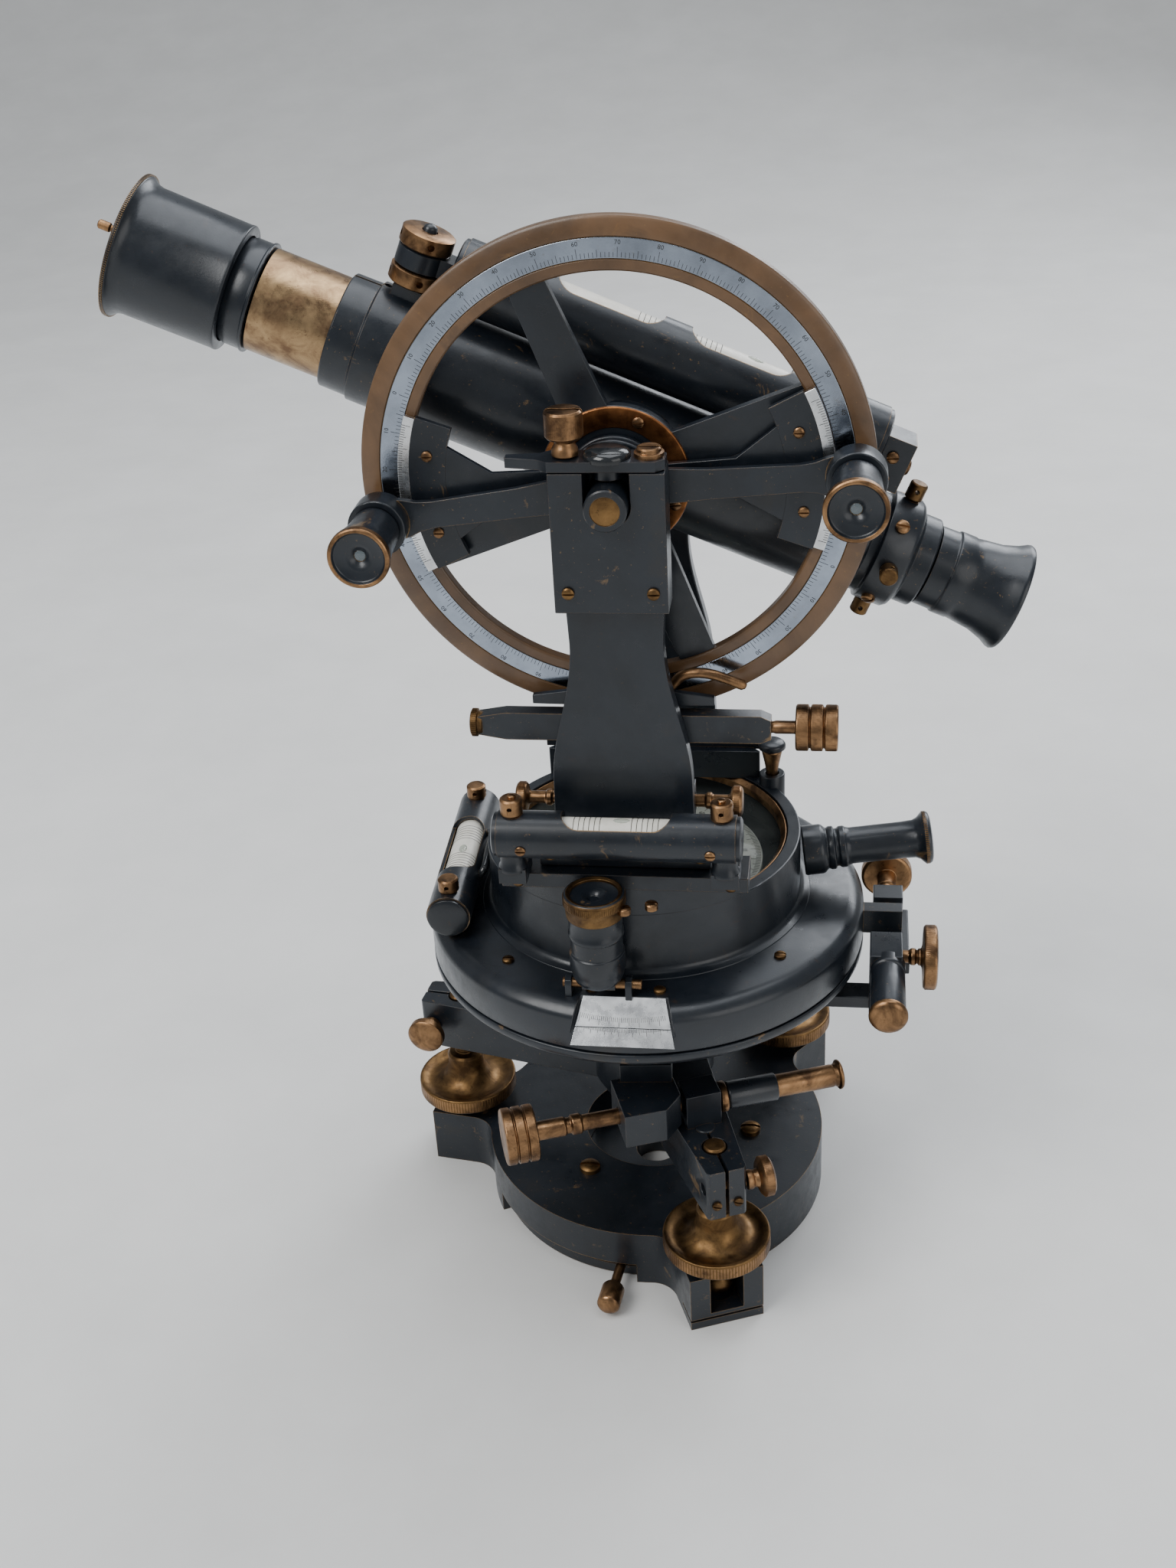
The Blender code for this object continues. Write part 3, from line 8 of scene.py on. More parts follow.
import bmesh
import bpy
from bpy.props import FloatProperty, FloatVectorProperty, IntProperty, PointerProperty
from mathutils import Matrix, Vector


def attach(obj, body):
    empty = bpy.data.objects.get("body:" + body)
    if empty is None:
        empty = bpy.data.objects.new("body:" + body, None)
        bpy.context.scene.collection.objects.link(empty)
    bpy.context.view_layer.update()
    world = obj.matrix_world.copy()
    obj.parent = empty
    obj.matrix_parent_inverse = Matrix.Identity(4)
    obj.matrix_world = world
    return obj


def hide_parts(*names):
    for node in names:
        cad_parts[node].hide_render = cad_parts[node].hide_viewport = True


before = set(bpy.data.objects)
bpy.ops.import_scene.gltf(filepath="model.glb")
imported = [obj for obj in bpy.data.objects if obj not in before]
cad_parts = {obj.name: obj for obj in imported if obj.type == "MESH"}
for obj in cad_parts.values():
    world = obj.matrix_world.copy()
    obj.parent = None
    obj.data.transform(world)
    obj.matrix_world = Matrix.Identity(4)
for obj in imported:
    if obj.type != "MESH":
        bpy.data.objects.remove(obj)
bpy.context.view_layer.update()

bl_info = {
    "name": "Transit theodolite",
    "version": (1, 0, 0),
    "blender": (4, 5, 0),
    "location": "3D View > Sidebar > Theodolite",
    "description": "Builds the visual model of a transit theodolite on its packed frame",
    "category": "Add Mesh",
}

MM = 0.001
SMOOTH = 64               # sides of a round piece that is seen large
TILT = 23.0               # the telescope's tilt at rest
TRUNNION_Z = 264.7
FOOT_ANGLES = {"front": -67.8, "rear": 52.2, "left": 172.2}
CAMERA_PLACE = (0.06406, -0.49852, 0.43823)
CAMERA_TURN = (radians(9.23), radians(29.37), radians(-3.35))   # azimuth, elevation and roll
CAMERA_LENS = 42.48
ARM_REACH = 80.3          # from the axis to the tribrach arms' ends
LUG_REACH, LUG_Z = 53.7, 70.5
WAY = Vector((cos(radians(20.5)), sin(radians(20.5)), 0))   # along the lower fine motion screw
LEVEL_UP, LEVEL_STUD = 28.0, -70.8

TELESCOPE = Matrix.Translation((0, 0, TRUNNION_Z)) @ Matrix.Rotation(radians(TILT), 4, "Y")


def upright(lean=0.0):
    """Stands a flat outline up, facing the front, round the trunnion axis."""
    return (Matrix.Translation((0, 0, TRUNNION_Z)) @ Matrix.Rotation(radians(-lean), 4, "Y")
            @ Matrix.Rotation(radians(90), 4, "X"))


def aim(point, way):
    """Turns Z to a direction at a point."""
    turn = Vector((0, 0, 1)).rotation_difference(Vector(way)).to_matrix().to_4x4()
    return Matrix.Translation(Vector(point)) @ turn


def about_z(angle):
    return Matrix.Rotation(radians(angle), 4, "Z")


def polar(radius, angle):
    return radius * cos(radians(angle)), radius * sin(radians(angle))


def arc(radius, start, end, steps, centre=(0, 0)):
    return [(centre[0] + radius * cos(radians(start + (end - start) * i / steps)),
             centre[1] + radius * sin(radians(start + (end - start) * i / steps))) for i in range(steps + 1)]


def sector(outer, inner, start, end, steps=24):
    return arc(outer, start, end, steps) + arc(inner, end, start, steps)


# ---------------------------------------------------------------- sizes and colours a user may change

class TheodoliteLooks(bpy.types.PropertyGroup):
    """Colours and finish shared by every piece"""

    lacquer_colour: FloatVectorProperty(name="Lacquer", description="Colour of the sound lacquer", size=4,
                                        subtype="COLOR", min=0, max=1, default=(0.0045, 0.0062, 0.0088, 1))
    brass_colour: FloatVectorProperty(name="Brass", description="Colour of handled brass", size=4,
                                      subtype="COLOR", min=0, max=1, default=(0.44, 0.25, 0.12, 1))
    patina_colour: FloatVectorProperty(name="Patina", description="Colour of brass that has gone brown",
                                       size=4,
                                       subtype="COLOR", min=0, max=1, default=(0.095, 0.054, 0.030, 1))
    silver_colour: FloatVectorProperty(name="Silver", description="Colour of the graduated silver", size=4,
                                       subtype="COLOR", min=0, max=1, default=(0.80, 0.82, 0.84, 1))
    edge_width: FloatProperty(name="Edge width", description="Width of the broken edges", unit="LENGTH",
                              default=0.0003, min=0.00005, max=0.001)
    edge_wear: FloatProperty(name="Edge wear", description="How far lacquer has rubbed off the edges",
                             subtype="FACTOR", default=0.55, min=0, max=1)


class TheodoliteSizes(bpy.types.PropertyGroup):
    """Counts and small sizes of the repeated details"""

    knurl_pitch: FloatProperty(name="Knurl pitch", description="Distance between two ridges of a knurled rim",
                               unit="LENGTH", default=0.00062, min=0.0003, max=0.003)
    knurl_depth: FloatProperty(name="Knurl depth", description="Height of a knurl ridge", unit="LENGTH",
                               default=0.00032, min=0.00005, max=0.001)
    circle_divisions: IntProperty(name="Circle divisions", description="Lines round the vertical circle",
                                  default=360, min=36, max=720)
    line_width: FloatProperty(name="Line width", description="Width of a graduation", unit="LENGTH",
                              default=0.00012, min=0.00003, max=0.001)
    floor_size: FloatProperty(name="Floor size", description="Side of the floor", unit="LENGTH",
                              default=6.0,
                              min=1, max=20)


def looks():
    return bpy.context.scene.theodolite_looks


def sizes():
    return bpy.context.scene.theodolite_sizes


# ---------------------------------------------------------------- materials

def shader_of(name):
    made = bpy.data.materials.new(name)
    made.use_nodes = True
    return made, made.node_tree, made.node_tree.nodes["Principled BSDF"]


def node(tree, kind, **values):
    """A node with its properties or, where the name is an input's, its inputs set."""
    made = tree.nodes.new(kind)
    for key, value in values.items():
        if hasattr(made, key):
            setattr(made, key, value)
        else:
            made.inputs[key.replace("_", " ")].default_value = value
    return made


def noise(tree, scale, detail=4.0, rough=0.6, distortion=0.0, stretch=None):
    place = node(tree, "ShaderNodeTexCoord")
    made = node(tree, "ShaderNodeTexNoise", Scale=scale, Detail=detail, Roughness=rough,
                Distortion=distortion)
    if stretch:
        scaled = node(tree, "ShaderNodeMapping")
        scaled.inputs["Scale"].default_value = stretch
        tree.links.new(place.outputs["Object"], scaled.inputs["Vector"])
        tree.links.new(scaled.outputs["Vector"], made.inputs["Vector"])
    else:
        tree.links.new(place.outputs["Object"], made.inputs["Vector"])
    return made.outputs["Fac"]


def ramp(tree, value, stops):
    made = node(tree, "ShaderNodeValToRGB")
    marks = made.color_ramp.elements
    while len(marks) < len(stops):
        marks.new(0.5)
    for mark, (at, shade) in zip(marks, stops):
        mark.position = at
        mark.color = shade if isinstance(shade, tuple) else (shade, shade, shade, 1)
    tree.links.new(value, made.inputs["Fac"])
    return made.outputs["Color"]


def blend(tree, share, first, second):
    """Mixes two colours; either may be a socket or a colour."""
    made = node(tree, "ShaderNodeMix", data_type="RGBA")
    tree.links.new(share, made.inputs["Factor"])
    for socket, value in ((made.inputs[6], first), (made.inputs[7], second)):
        if isinstance(value, bpy.types.NodeSocket):
            tree.links.new(value, socket)
        else:
            socket.default_value = value
    return made.outputs[2]


def math_of(tree, how, first, second=0.5):
    made = node(tree, "ShaderNodeMath", operation=how)
    for socket, value in zip(made.inputs, (first, second)):
        if isinstance(value, bpy.types.NodeSocket):
            tree.links.new(value, socket)
        else:
            socket.default_value = value
    return made.outputs[0]


def bump(tree, shader, height, strength, distance=0.0002):
    made = node(tree, "ShaderNodeBump", Strength=strength, Distance=distance)
    tree.links.new(height, made.inputs["Height"])
    tree.links.new(made.outputs["Normal"], shader.inputs["Normal"])


def edge_mask(tree, radius):
    """Near 1 along outer edges, from the difference between a rounded and a true normal."""
    round_normal = node(tree, "ShaderNodeBevel", samples=4, Radius=radius)
    true_normal = node(tree, "ShaderNodeNewGeometry")
    dot = node(tree, "ShaderNodeVectorMath", operation="DOT_PRODUCT")
    tree.links.new(round_normal.outputs["Normal"], dot.inputs[0])
    tree.links.new(true_normal.outputs["Normal"], dot.inputs[1])
    return math_of(tree, "SUBTRACT", 1.0, dot.outputs["Value"])


def lacquer(name, tint, under, wear, low, high):
    """Old lacquer: mottled, rubbed to brass on its edges, with fine scratches and a soft sheen."""
    made, tree, shader = shader_of(name)
    cloud = ramp(tree, noise(tree, 38, 5, 0.62, 0.4),
                 [(0.34, tint), (0.62, tuple(c * 1.9 for c in tint[:3]) + (1,)),
                                                        (0.8, (0.018, 0.015, 0.012, 1))])
    specks = ramp(tree, noise(tree, 900, 3, 0.7), [(0.66, 0.0), (0.72, 1.0)])
    patches = ramp(tree, noise(tree, 95, 6, 0.68, 0.8), [(0.63, 0.0), (0.70, 1.0)])
    edges = math_of(tree, "ADD", edge_mask(tree, 0.0007),
                    math_of(tree, "MULTIPLY", noise(tree, 420, 4, 0.7), 0.4))
    rubbed = ramp(tree, edges, [(0.58 - 0.13 * wear, 0.0), (0.72 - 0.13 * wear, 1.0)])
    bare = math_of(tree, "MAXIMUM", rubbed, math_of(tree, "MULTIPLY", patches, 0.35 * wear))
    bare = math_of(tree, "MAXIMUM", bare, math_of(tree, "MULTIPLY", specks, 0.3))
    tree.links.new(blend(tree, bare, cloud, under), shader.inputs["Base Color"])
    tree.links.new(math_of(tree, "MULTIPLY", bare, 0.9), shader.inputs["Metallic"])
    gloss = ramp(tree, noise(tree, 160, 5, 0.7), [(0.3, low), (0.75, high)])
    tree.links.new(gloss, shader.inputs["Roughness"])
    shader.inputs["Specular IOR Level"].default_value = 0.42
    shader.inputs["Coat Weight"].default_value = 0.25
    shader.inputs["Coat Roughness"].default_value = 0.22
    shader.inputs["Coat Tint"].default_value = (0.82, 0.90, 1.0, 1)
    grain = math_of(tree, "ADD", noise(tree, 1500, 3, 0.6), math_of(tree, "MULTIPLY", bare, -0.8))
    bump(tree, shader, grain, 0.22, 0.00012)
    return made


def brass(name, bright, dull, low=0.24, high=0.5, turned=True):
    """Handled brass: bright where it is touched, brown where it isn't, with turning marks."""
    made, tree, shader = shader_of(name)
    cloud = ramp(tree, noise(tree, 120, 6, 0.66, 0.6),
                 [(0.36, dull), (0.55, tuple(0.55 * a + 0.45 * b for a, b in
                                                        zip(bright, dull))), (0.74, bright)])
    spots = ramp(tree, noise(tree, 640, 4, 0.7), [(0.60, 0.0), (0.70, 0.75)])
    tree.links.new(blend(tree, spots, cloud, dull), shader.inputs["Base Color"])
    shader.inputs["Metallic"].default_value = 1.0
    tree.links.new(ramp(tree, noise(tree, 210, 5, 0.7), [(0.3, low), (0.7, high)]),
                   shader.inputs["Roughness"])
    height = noise(tree, 1300, 3, 0.65)
    if turned:
        height = math_of(tree, "ADD", height, noise(tree, 60, 2, 0.5, stretch=(1, 1, 60)))
    bump(tree, shader, height, 0.16, 0.0001)
    return made


def silver(name, tint, low=0.2, high=0.36):
    made, tree, shader = shader_of(name)
    cloud = ramp(tree, noise(tree, 70, 5, 0.6), [(0.3, tuple(c * 0.66 for c in tint[:3]) + (1,)),
                                                 (0.6, tint)])
    tarnish = ramp(tree, noise(tree, 300, 5, 0.7), [(0.62, 0.0), (0.75, 0.5)])
    tree.links.new(blend(tree, tarnish, cloud, (0.23, 0.20, 0.15, 1)), shader.inputs["Base Color"])
    shader.inputs["Metallic"].default_value = 1.0
    tree.links.new(ramp(tree, noise(tree, 190, 5, 0.7), [(0.3, low), (0.7, high)]),
                   shader.inputs["Roughness"])
    bump(tree, shader, noise(tree, 1800, 2, 0.6), 0.10, 0.00008)
    return made


def glass(name, tint, rough=0.02, weight=0.92):
    made, tree, shader = shader_of(name)
    tree.links.new(ramp(tree, noise(tree, 45, 3, 0.5),
                        [(0.3, tint), (0.8, tuple(c * 0.9 for c in tint[:3]) + (1,))]),
                   shader.inputs["Base Color"])
    tree.links.new(ramp(tree, noise(tree, 150, 4, 0.6), [(0.45, rough), (0.8, rough + 0.10)]),
                   shader.inputs["Roughness"])
    shader.inputs["Transmission Weight"].default_value = weight
    shader.inputs["IOR"].default_value = 1.47
    return made


def clear(name, tint):
    """A thin pane that light and shadow pass through, with a little dust."""
    made, tree, shader = shader_of(name)
    tree.links.new(ramp(tree, noise(tree, 60, 4, 0.6), [(0.3, tint), (0.8, (0.20, 0.21, 0.19, 1))]),
                   shader.inputs["Base Color"])
    tree.links.new(ramp(tree, noise(tree, 150, 4, 0.6), [(0.45, 0.05), (0.8, 0.2)]),
                   shader.inputs["Roughness"])
    tree.links.new(ramp(tree, noise(tree, 90, 5, 0.65), [(0.4, 0.14), (0.8, 0.26)]), shader.inputs["Alpha"])
    return made


def plain(name, first, second, low, high, metallic=0.0, scale=220, strength=0.12):
    """Enamel, ink, leather and the floor: two near shades, uneven gloss and a fine grain."""
    made, tree, shader = shader_of(name)
    tree.links.new(ramp(tree, noise(tree, scale, 5, 0.65), [(0.35, first), (0.68, second)]),
                   shader.inputs["Base Color"])
    tree.links.new(ramp(tree, noise(tree, scale * 1.7, 4, 0.65), [(0.3, low), (0.7, high)]),
                   shader.inputs["Roughness"])
    shader.inputs["Metallic"].default_value = metallic
    bump(tree, shader, noise(tree, scale * 6, 3, 0.6), strength, 0.00012)
    return made


FINISHES = {}


def finish(name):
    """The finish of that name, made the first time it is asked for."""
    if name in FINISHES:
        return FINISHES[name]
    look = looks()
    black, bright, dull = tuple(look.lacquer_colour), tuple(look.brass_colour), tuple(look.patina_colour)
    recipes = {
        "lacquer": lambda: lacquer(name, black, dull, look.edge_wear, 0.24, 0.46),
        "worn_lacquer": lambda: lacquer(name, black, (0.42, 0.25, 0.10, 1), 1.0, 0.26, 0.5),
        "brown_lacquer": lambda: lacquer(name, (0.075, 0.040, 0.018, 1), (0.36, 0.20, 0.07, 1), 0.8, 0.28,
                                         0.5),
        "brass": lambda: brass(name, bright, dull),
        "dark_brass": lambda: brass(name, (0.26, 0.15, 0.06, 1), (0.07, 0.04, 0.02, 1), 0.3, 0.55),
        "orange_brass": lambda: brass(name, (0.40, 0.17, 0.06, 1), (0.13, 0.05, 0.02, 1), 0.3, 0.5),
        "tube_brass": lambda: brass(name, (0.50, 0.34, 0.18, 1), (0.16, 0.095, 0.055, 1), 0.2, 0.42),
        "silver": lambda: silver(name, tuple(look.silver_colour)),
        "polished_silver": lambda: silver(name, (0.36, 0.41, 0.49, 1), 0.10, 0.24),
        "dial": lambda: plain(name, (0.62, 0.65, 0.58, 1), (0.50, 0.52, 0.45, 1), 0.3, 0.5),
        "glass": lambda: clear(name, (0.03, 0.04, 0.04, 1)),
        "spirit": lambda: glass(name, (0.80, 0.86, 0.78, 1), 0.02, 0.75),
        "lens": lambda: glass(name, (0.62, 0.74, 0.80, 1), 0.01, 0.85),
        "white": lambda: plain(name, (0.74, 0.72, 0.66, 1), (0.62, 0.60, 0.53, 1), 0.3, 0.45),
        "ink": lambda: plain(name, (0.008, 0.008, 0.008, 1), (0.02, 0.018, 0.015, 1), 0.4, 0.6),
        "gloss": lambda: plain(name, (0.008, 0.010, 0.012, 1), (0.02, 0.022, 0.024, 1), 0.08, 0.2),
        "floor": lambda: plain(name, (0.62, 0.62, 0.61, 1), (0.67, 0.67, 0.66, 1), 0.55, 0.7, scale=14,
                               strength=0.02),
    }
    FINISHES[name] = recipes[name]()
    return FINISHES[name]


# ---------------------------------------------------------------- shapes

class Piece:
    """A finished piece put together from closed shapes, each with its own finish."""

    def __init__(self, name):
        self.name = name
        self.bm = bmesh.new()
        self.finishes = []
        self.extras = []

    def index(self, finish_name):
        if finish_name not in self.finishes:
            self.finishes.append(finish_name)
        return self.finishes.index(finish_name)

    def take(self, part, finish_name, place):
        """Adds a closed bmesh, turned into place, and frees it."""
        slot = self.index(finish_name)
        if place is not None:
            part.transform(place)
        bmesh.ops.recalc_face_normals(part, faces=part.faces)
        if part.calc_volume(signed=True) < 0:
            bmesh.ops.reverse_faces(part, faces=part.faces)
        for face in part.faces:
            face.material_index = slot
            face.smooth = True
        mesh = bpy.data.meshes.new("part")
        part.to_mesh(mesh)
        part.free()
        self.bm.from_mesh(mesh)
        bpy.data.meshes.remove(mesh)
        return self

    def lathe(self, profile, place=None, finish_name="lacquer", sides=SMOOTH, closed=False, cuts=()):
        return self.take(cut_away(lathe_mesh(profile, sides, closed), cuts), finish_name, place)

    def rod(self, start, end, radius, finish_name="lacquer", end_radius=None, sides=24, place=None):
        start, end = Vector(start), Vector(end)
        length = (end - start).length
        tip = radius if end_radius is None else end_radius
        profile = [(0, length), (tip, length), (radius, 0), (0, 0)]
        turn = aim(start, end - start)
        return self.take(lathe_mesh(profile, sides), finish_name, turn if place is None else place @ turn)

    def block(self, low, high, finish_name="lacquer", place=None, cuts=()):
        return self.take(cut_away(block_mesh(low, high), cuts), finish_name, place)

    def plate(self, outline, bottom, top, finish_name="lacquer", place=None, cuts=()):
        return self.take(cut_away(plate_mesh(outline, bottom, top), cuts), finish_name, place)

    def wire(self, points, radius, finish_name="brass", place=None, sides=16):
        return self.take(wire_mesh(points, radius, sides), finish_name, place)

    def finish(self, body, nodes=(), edge=None, rows=()):
        """Breaks the edges, adds the repeated details, and gives the piece its body and nodes."""
        mesh = bpy.data.meshes.new(self.name)
        self.bm.to_mesh(mesh)
        self.bm.free()
        for name in self.finishes:
            mesh.materials.append(finish(name))
        mesh.transform(Matrix.Scale(MM, 4))
        made = bpy.data.objects.new(self.name, mesh)
        bpy.context.scene.collection.objects.link(made)
        width = looks().edge_width if edge is None else edge * MM
        if width > 0:
            soft = made.modifiers.new("edges", "BEVEL")
            soft.width = width
            soft.segments = 2
            soft.limit_method = "ANGLE"
            soft.angle_limit = radians(38)
            soft.harden_normals = True
        bake(made)
        for row in rows:
            add_row(made, row)
        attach(made, body)
        if nodes:
            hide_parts(*nodes)
        return made


def bake(made):
    """Turns the evaluated object into a plain mesh."""
    bpy.context.view_layer.update()
    graph = bpy.context.evaluated_depsgraph_get()
    mesh = bpy.data.meshes.new_from_object(made.evaluated_get(graph), preserve_all_data_layers=True,
                                           depsgraph=graph)
    made.modifiers.clear()
    made.data = mesh


def lathe_mesh(profile, sides, closed=False):
    """A profile of (radius, height) turned about Z; one that isn't closed starts and ends on the axis."""
    bm = bmesh.new()
    rings = []
    for radius, height in profile:
        if radius < 1e-6:
            rings.append([bm.verts.new((0, 0, height))])
        else:
            rings.append([bm.verts.new((radius * cos(2 * pi * i / sides),
                                        radius * sin(2 * pi * i / sides), height))
                          for i in range(sides)])
    pairs = list(zip(rings, rings[1:])) + ([(rings[-1], rings[0])] if closed else [])
    for upper, lower in pairs:
        for i in range(sides):
            j = (i + 1) % sides
            if len(upper) == 1 and len(lower) == 1:
                continue
            if len(upper) == 1:
                bm.faces.new((upper[0], lower[i], lower[j]))
            elif len(lower) == 1:
                bm.faces.new((upper[i], lower[0], upper[j]))
            else:
                bm.faces.new((upper[i], lower[i], lower[j], upper[j]))
    return bm


def block_mesh(low, high):
    low, high = Vector(low), Vector(high)
    bm = bmesh.new()
    bmesh.ops.create_cube(bm, size=1.0)
    bmesh.ops.scale(bm, vec=high - low, verts=bm.verts)
    bmesh.ops.translate(bm, vec=(high + low) / 2, verts=bm.verts)
    return bm


def plate_mesh(outline, bottom, top):
    bm = bmesh.new()
    lower = [bm.verts.new((x, y, bottom)) for x, y in outline]
    upper = [bm.verts.new((x, y, top)) for x, y in outline]
    bm.faces.new(lower[::-1])
    bm.faces.new(upper)
    count = len(outline)
    for i in range(count):
        j = (i + 1) % count
        bm.faces.new((lower[i], lower[j], upper[j], upper[i]))
    return bm


def wire_mesh(points, radius, sides):
    """A round bar through points, smoothed by a Catmull-Rom curve, with rounded ends."""
    knots = [Vector(p) for p in points]
    knots = [knots[0] * 2 - knots[1]] + knots + [knots[-1] * 2 - knots[-2]]
    path = []
    for a, b, c, d in zip(knots, knots[1:], knots[2:], knots[3:]):
        for i in range(6):
            t = i / 6
            path.append(0.5 * (2 * b + (c - a) * t + (2 * a - 5 * b + 4 * c - d) * t * t
                               + (3 * b - a - 3 * c + d) * t ** 3))
    path.append(knots[-2])
    first, last = (path[0] - path[1]).normalized(), (path[-1] - path[-2]).normalized()
    stations = [(path[0] + first * radius * 0.7, 0.5)] + [(p, 1.0) for p in path]
    stations.append((path[-1] + last * radius * 0.7, 0.5))
    bm = bmesh.new()
    rings, side = [], None
    for i, (point, share) in enumerate(stations):
        ahead = stations[min(i + 1, len(stations) - 1)][0] - stations[max(i - 1, 0)][0]
        ahead.normalize()
        if side is None:
            side = ahead.orthogonal().normalized()
        side = (side - ahead * side.dot(ahead)).normalized()
        other = ahead.cross(side)
        rings.append([bm.verts.new(point + (side * cos(2 * pi * k / sides) + other * sin(2 * pi * k / sides))
                                   * radius * share) for k in range(sides)])
    for a, b in zip(rings, rings[1:]):
        for k in range(sides):
            m = (k + 1) % sides
            bm.faces.new((a[k], a[m], b[m], b[k]))
    bm.faces.new(rings[0][::-1])
    bm.faces.new(rings[-1])
    return bm


def cut_away(bm, cuts):
    """Cuts closed bmeshes out of one, by exact Booleans."""
    if not cuts:
        return bm
    target = as_object(bm)
    tools = [as_object(tool) for tool in cuts]
    for tool in tools:
        step = target.modifiers.new("cut", "BOOLEAN")
        step.operation = "DIFFERENCE"
        step.solver = "EXACT"
        step.object = tool
    bake(target)
    made = bmesh.new()
    made.from_mesh(target.data)
    bmesh.ops.remove_doubles(made, verts=made.verts, dist=1e-4)
    bmesh.ops.dissolve_degenerate(made, edges=made.edges, dist=1e-3)
    for old in tools + [target]:
        bpy.data.objects.remove(old)
    return made


def as_object(bm):
    bmesh.ops.recalc_face_normals(bm, faces=bm.faces)
    mesh = bpy.data.meshes.new("tool")
    bm.to_mesh(mesh)
    bm.free()
    made = bpy.data.objects.new("tool", mesh)
    bpy.context.scene.collection.objects.link(made)
    return made


def cutter(mesh, place=None):
    if place is not None:
        mesh.transform(place)
    return mesh


def round_cut(start, end, radius, sides=32):
    start, end = Vector(start), Vector(end)
    length = (end - start).length
    return cutter(lathe_mesh([(0, length), (radius, length), (radius, 0), (0, 0)], sides),
                  aim(start, end - start))


# ---------------------------------------------------------------- Geometry Nodes for what repeats

def tree_of(name, numbers):
    """A new tree with named number inputs, which ends in Realize Instances and Set Material."""
    tree = bpy.data.node_groups.new(name, "GeometryNodeTree")
    tree.interface.new_socket("Geometry", in_out="INPUT", socket_type="NodeSocketGeometry")
    for label, value in numbers.items():
        kind = "NodeSocketInt" if isinstance(value, int) else "NodeSocketFloat"
        tree.interface.new_socket(label, in_out="INPUT", socket_type=kind).default_value = value
    tree.interface.new_socket("Finish", in_out="INPUT", socket_type="NodeSocketMaterial")
    tree.interface.new_socket("Geometry", in_out="OUTPUT", socket_type="NodeSocketGeometry")
    return tree


def close_tree(tree, source, made):
    """Realizes what was made, gives it its finish and sends it out."""
    realize = tree.nodes.new("GeometryNodeRealizeInstances")
    set_finish = tree.nodes.new("GeometryNodeSetMaterial")
    out = tree.nodes.new("NodeGroupOutput")
    tree.links.new(made, realize.inputs[0])
    tree.links.new(realize.outputs[0], set_finish.inputs["Geometry"])
    tree.links.new(source.outputs["Finish"], set_finish.inputs["Material"])
    tree.links.new(set_finish.outputs[0], out.inputs[0])


def combine(tree, *values):
    made = tree.nodes.new("ShaderNodeCombineXYZ")
    for socket, value in zip(made.inputs, values):
        if isinstance(value, bpy.types.NodeSocket):
            tree.links.new(value, socket)
        else:
            socket.default_value = value
    return made.outputs[0]


def ridge_tree():
    """Ridges round a rim: Count bars of Length along the axis, standing at Radius."""
    tree = tree_of("knurled rim", {"Count": 60, "Radius": 0.01, "Length": 0.004, "Depth": 0.0003,
                                   "Width": 0.0004})
    source = tree.nodes.new("NodeGroupInput")
    rim = tree.nodes.new("GeometryNodeMeshCircle")
    tree.links.new(source.outputs["Count"], rim.inputs["Vertices"])
    tree.links.new(source.outputs["Radius"], rim.inputs["Radius"])
    bar = tree.nodes.new("GeometryNodeMeshCube")
    deep = math_of(tree, "MULTIPLY", source.outputs["Depth"], 2.0)
    tree.links.new(combine(tree, deep, source.outputs["Width"], source.outputs["Length"]),
                   bar.inputs["Size"])
    spread = tree.nodes.new("GeometryNodeInstanceOnPoints")
    tree.links.new(rim.outputs[0], spread.inputs["Points"])
    tree.links.new(bar.outputs["Mesh"], spread.inputs["Instance"])
    index = tree.nodes.new("GeometryNodeInputIndex")
    step = math_of(tree, "DIVIDE", 2 * pi, source.outputs["Count"])
    angle = math_of(tree, "MULTIPLY", index.outputs[0], step)
    tree.links.new(combine(tree, 0.0, 0.0, angle), spread.inputs["Rotation"])
    close_tree(tree, source, spread.outputs[0])
    return tree


